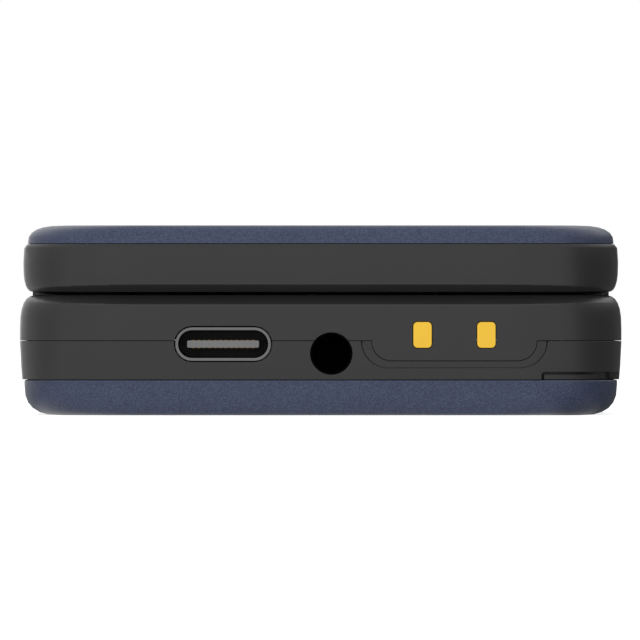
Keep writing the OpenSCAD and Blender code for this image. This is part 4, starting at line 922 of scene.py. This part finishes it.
# %% [markdown]
# A glossy thing takes its looks from what stands round it. In a studio that is a white surround,
# with dark screens beside the thing to give its sides a shape: here a black one to the right and a
# grey one to the left, both low. They are no objects. What a mirrored ray meets depends only on its
# direction, which is that of the world or, where the ray hits the floor, the way from the phone to
# that place. Close beside the phone the floor also has the phone's own shadow in gloss, because a
# floor that shines evenly there would make its lower edges too light.

# %% Helpers: what gloss meets
WHITE, GREY, BLACK = 1.0, 0.51, 0.14  # how bright the surround and its two screens are
UP, RIGHT_SCREEN, LEFT_SCREEN = (0.0, 0.0, 1.0), (0.82, 0.57, 0.0), (-0.88, 0.47, 0.0)
PLAN_CORE = Vector((18, 44, 1)) * MM  # half the phone's plan, less the radius of its corners


def ray_kinds(tree):
    """1 for what the camera sees straight, and 1 for what shows in gloss or through glass."""
    path = tree.nodes.new("ShaderNodeLightPath")
    straight, gloss, through = [Wire(tree, path.outputs[name]) for name in
                                ("Is Camera Ray", "Is Glossy Ray", "Is Transmission Ray")]
    return straight, gloss.math("MAXIMUM", gloss, through)


def glow(at, kind, level):
    """A white shader that shines by itself, for a surface or for the world."""
    return at.node(kind, {}, {"Color": (1, 1, 1, 1), "Strength": level})


def towards(way, axis, start, full):
    """0 where way points off axis, rising to 1 as their dot product goes from start to full."""
    return way.vector("DOT_PRODUCT", axis, out=1).smooth(start, full)


def studio(way, kind, shade=None):
    """The white surround as gloss meets it: a black screen to the right, a grey one to the left.

    shade, where it is given, is 1 where the phone's own shadow lies.
    """
    white, grey, black = [glow(way, kind, level) for level in (WHITE, GREY, BLACK)]
    low = 1 - towards(way, UP, start=0.12, full=0.45)
    left = towards(way, LEFT_SCREEN, start=0.66, full=0.90) * low
    right = towards(way, RIGHT_SCREEN, start=0.42, full=0.72) * low
    whole = right.blend(left.blend(white, grey), black)
    return shade.blend(whole, black) if shade else whole


def off_phone(place):
    """The way from the phone to a place on the floor, and how far off it is."""
    nearest = place.vector("MINIMUM", PLAN_CORE).vector("MAXIMUM", -PLAN_CORE)
    aside = place.vector("SUBTRACT", nearest)
    return aside.vector("NORMALIZE"), aside.vector("LENGTH", out=1)


def own_shadow(way, far):
    """The phone's own shadow on the floor: deep near its right side, light at its left."""
    right, left = [towards(way, (side, 0.0, 0.0), start=0.3, full=0.65) for side in (1.0, -1.0)]
    near = 1 - far.smooth(start=14 * MM, full=36 * MM)
    return near * (right * 0.7 + left * 0.2)


# %% [markdown]
# The table is a plain pale floor. To the camera it and the world behind it are pure white, through
# the Light Path node, and the floor adds its plain diffuse light to a little less than full white,
# so that the phone keeps its soft shadow. Gloss and glass meet the surround and its screens, and
# all other light gets a dimmer world, so that the lamps can give the phone its shape.

# %% Floor and world
FLOOR_HALF, FLOOR_Z = 6.0, -0.02 * MM  # just under the phone, so that the two never fight
corners = [(x * FLOOR_HALF, y * FLOOR_HALF, FLOOR_Z)
           for x, y in ((-1, -1), (1, -1), (1, 1), (-1, 1))]
floor_mesh = bpy.data.meshes.new("floor")
floor_mesh.from_pydata(corners, [], [(0, 1, 2, 3)])
floor = bpy.data.objects.new("floor", floor_mesh)
bpy.context.scene.collection.objects.link(floor)

floor_paint = bpy.data.materials.new("pale_floor")
floor_paint.use_nodes = True
tree = floor_paint.node_tree
tree.nodes.remove(tree.nodes["Principled BSDF"])
straight, mirrored = ray_kinds(tree)
way, far = off_phone(straight.node("ShaderNodeTexCoord", out=3))
plain = straight.node("ShaderNodeBsdfDiffuse", {}, {"Color": (0.82, 0.82, 0.82, 1)})
lift = glow(straight, "ShaderNodeEmission", level=0.76)
lit = straight.node("ShaderNodeAddShader", {}, {0: plain, 1: lift})
mixed = mirrored.blend(straight.blend(plain, lit),
                       studio(way, "ShaderNodeEmission", own_shadow(way, far)))
tree.links.new(mixed.socket, tree.nodes["Material Output"].inputs["Surface"])
floor_mesh.materials.append(floor_paint)

world = bpy.data.worlds.new("studio")
bpy.context.scene.world = world
world.use_nodes = True
tree = world.node_tree
straight, mirrored = ray_kinds(tree)
way = straight.node("ShaderNodeTexCoord")
dim, full = [glow(straight, "ShaderNodeBackground", level) for level in (0.45, 1.0)]
mixed = mirrored.blend(straight.blend(dim, full), studio(way, "ShaderNodeBackground"))
tree.links.new(mixed.socket, tree.nodes["World Output"].inputs["Surface"])
print("floor at", FLOOR_Z / MM, "mm, world dim for all but the camera and gloss")

# %% [markdown]
# Two large soft lamps light the phone. One hangs above it, a little to the left, and gives the
# shadow under it; one stands low in front of the charging end, which would be dark otherwise. They
# are hidden from gloss, because the white surround and its screens already stand for them there.

# %% Lamps
def softbox(name, place, aim, wide, high, watts):
    """A flat area lamp at place, turned to aim, all in metres."""
    lamp = bpy.data.lights.new(name, "AREA")
    lamp.shape, lamp.size, lamp.size_y, lamp.energy = "RECTANGLE", wide, high, watts
    made = bpy.data.objects.new(name, lamp)
    bpy.context.scene.collection.objects.link(made)
    made.location = place
    made.rotation_euler = (Vector(aim) - Vector(place)).to_track_quat("-Z", "Y").to_euler()
    made.visible_glossy = False


softbox("top_lamp", (-0.15, -0.1, 0.9), (0, 0, 0), wide=0.7, high=0.7, watts=3.0)
softbox("front_lamp", (-0.35, -1.2, 0.14), (0, 0, 0.01), wide=0.9, high=0.24, watts=9.0)
print("lamps:", [lamp.name for lamp in bpy.data.lights])

# %% [markdown]
# The picture of the phone is taken from the charging end, level with its middle and from far off,
# so that its sides barely converge: a very long lens at 2.7 metres.

# %% Camera
camera = bpy.data.objects.new("camera", bpy.data.cameras.new("camera"))
bpy.context.scene.collection.objects.link(camera)
camera.data.lens, camera.data.sensor_width = 1600, 36
camera.location = (-0.07 * MM, -2690.1 * MM, 8.85 * MM)
camera.rotation_euler = (math.radians(90), 0, 0)
camera.data.clip_start, camera.data.clip_end = 0.1, 100
bpy.context.scene.camera = camera
bpy.context.scene.view_settings.view_transform = "Standard"
print("camera", round(-camera.location.y, 2), "m away, lens", camera.data.lens, "mm")
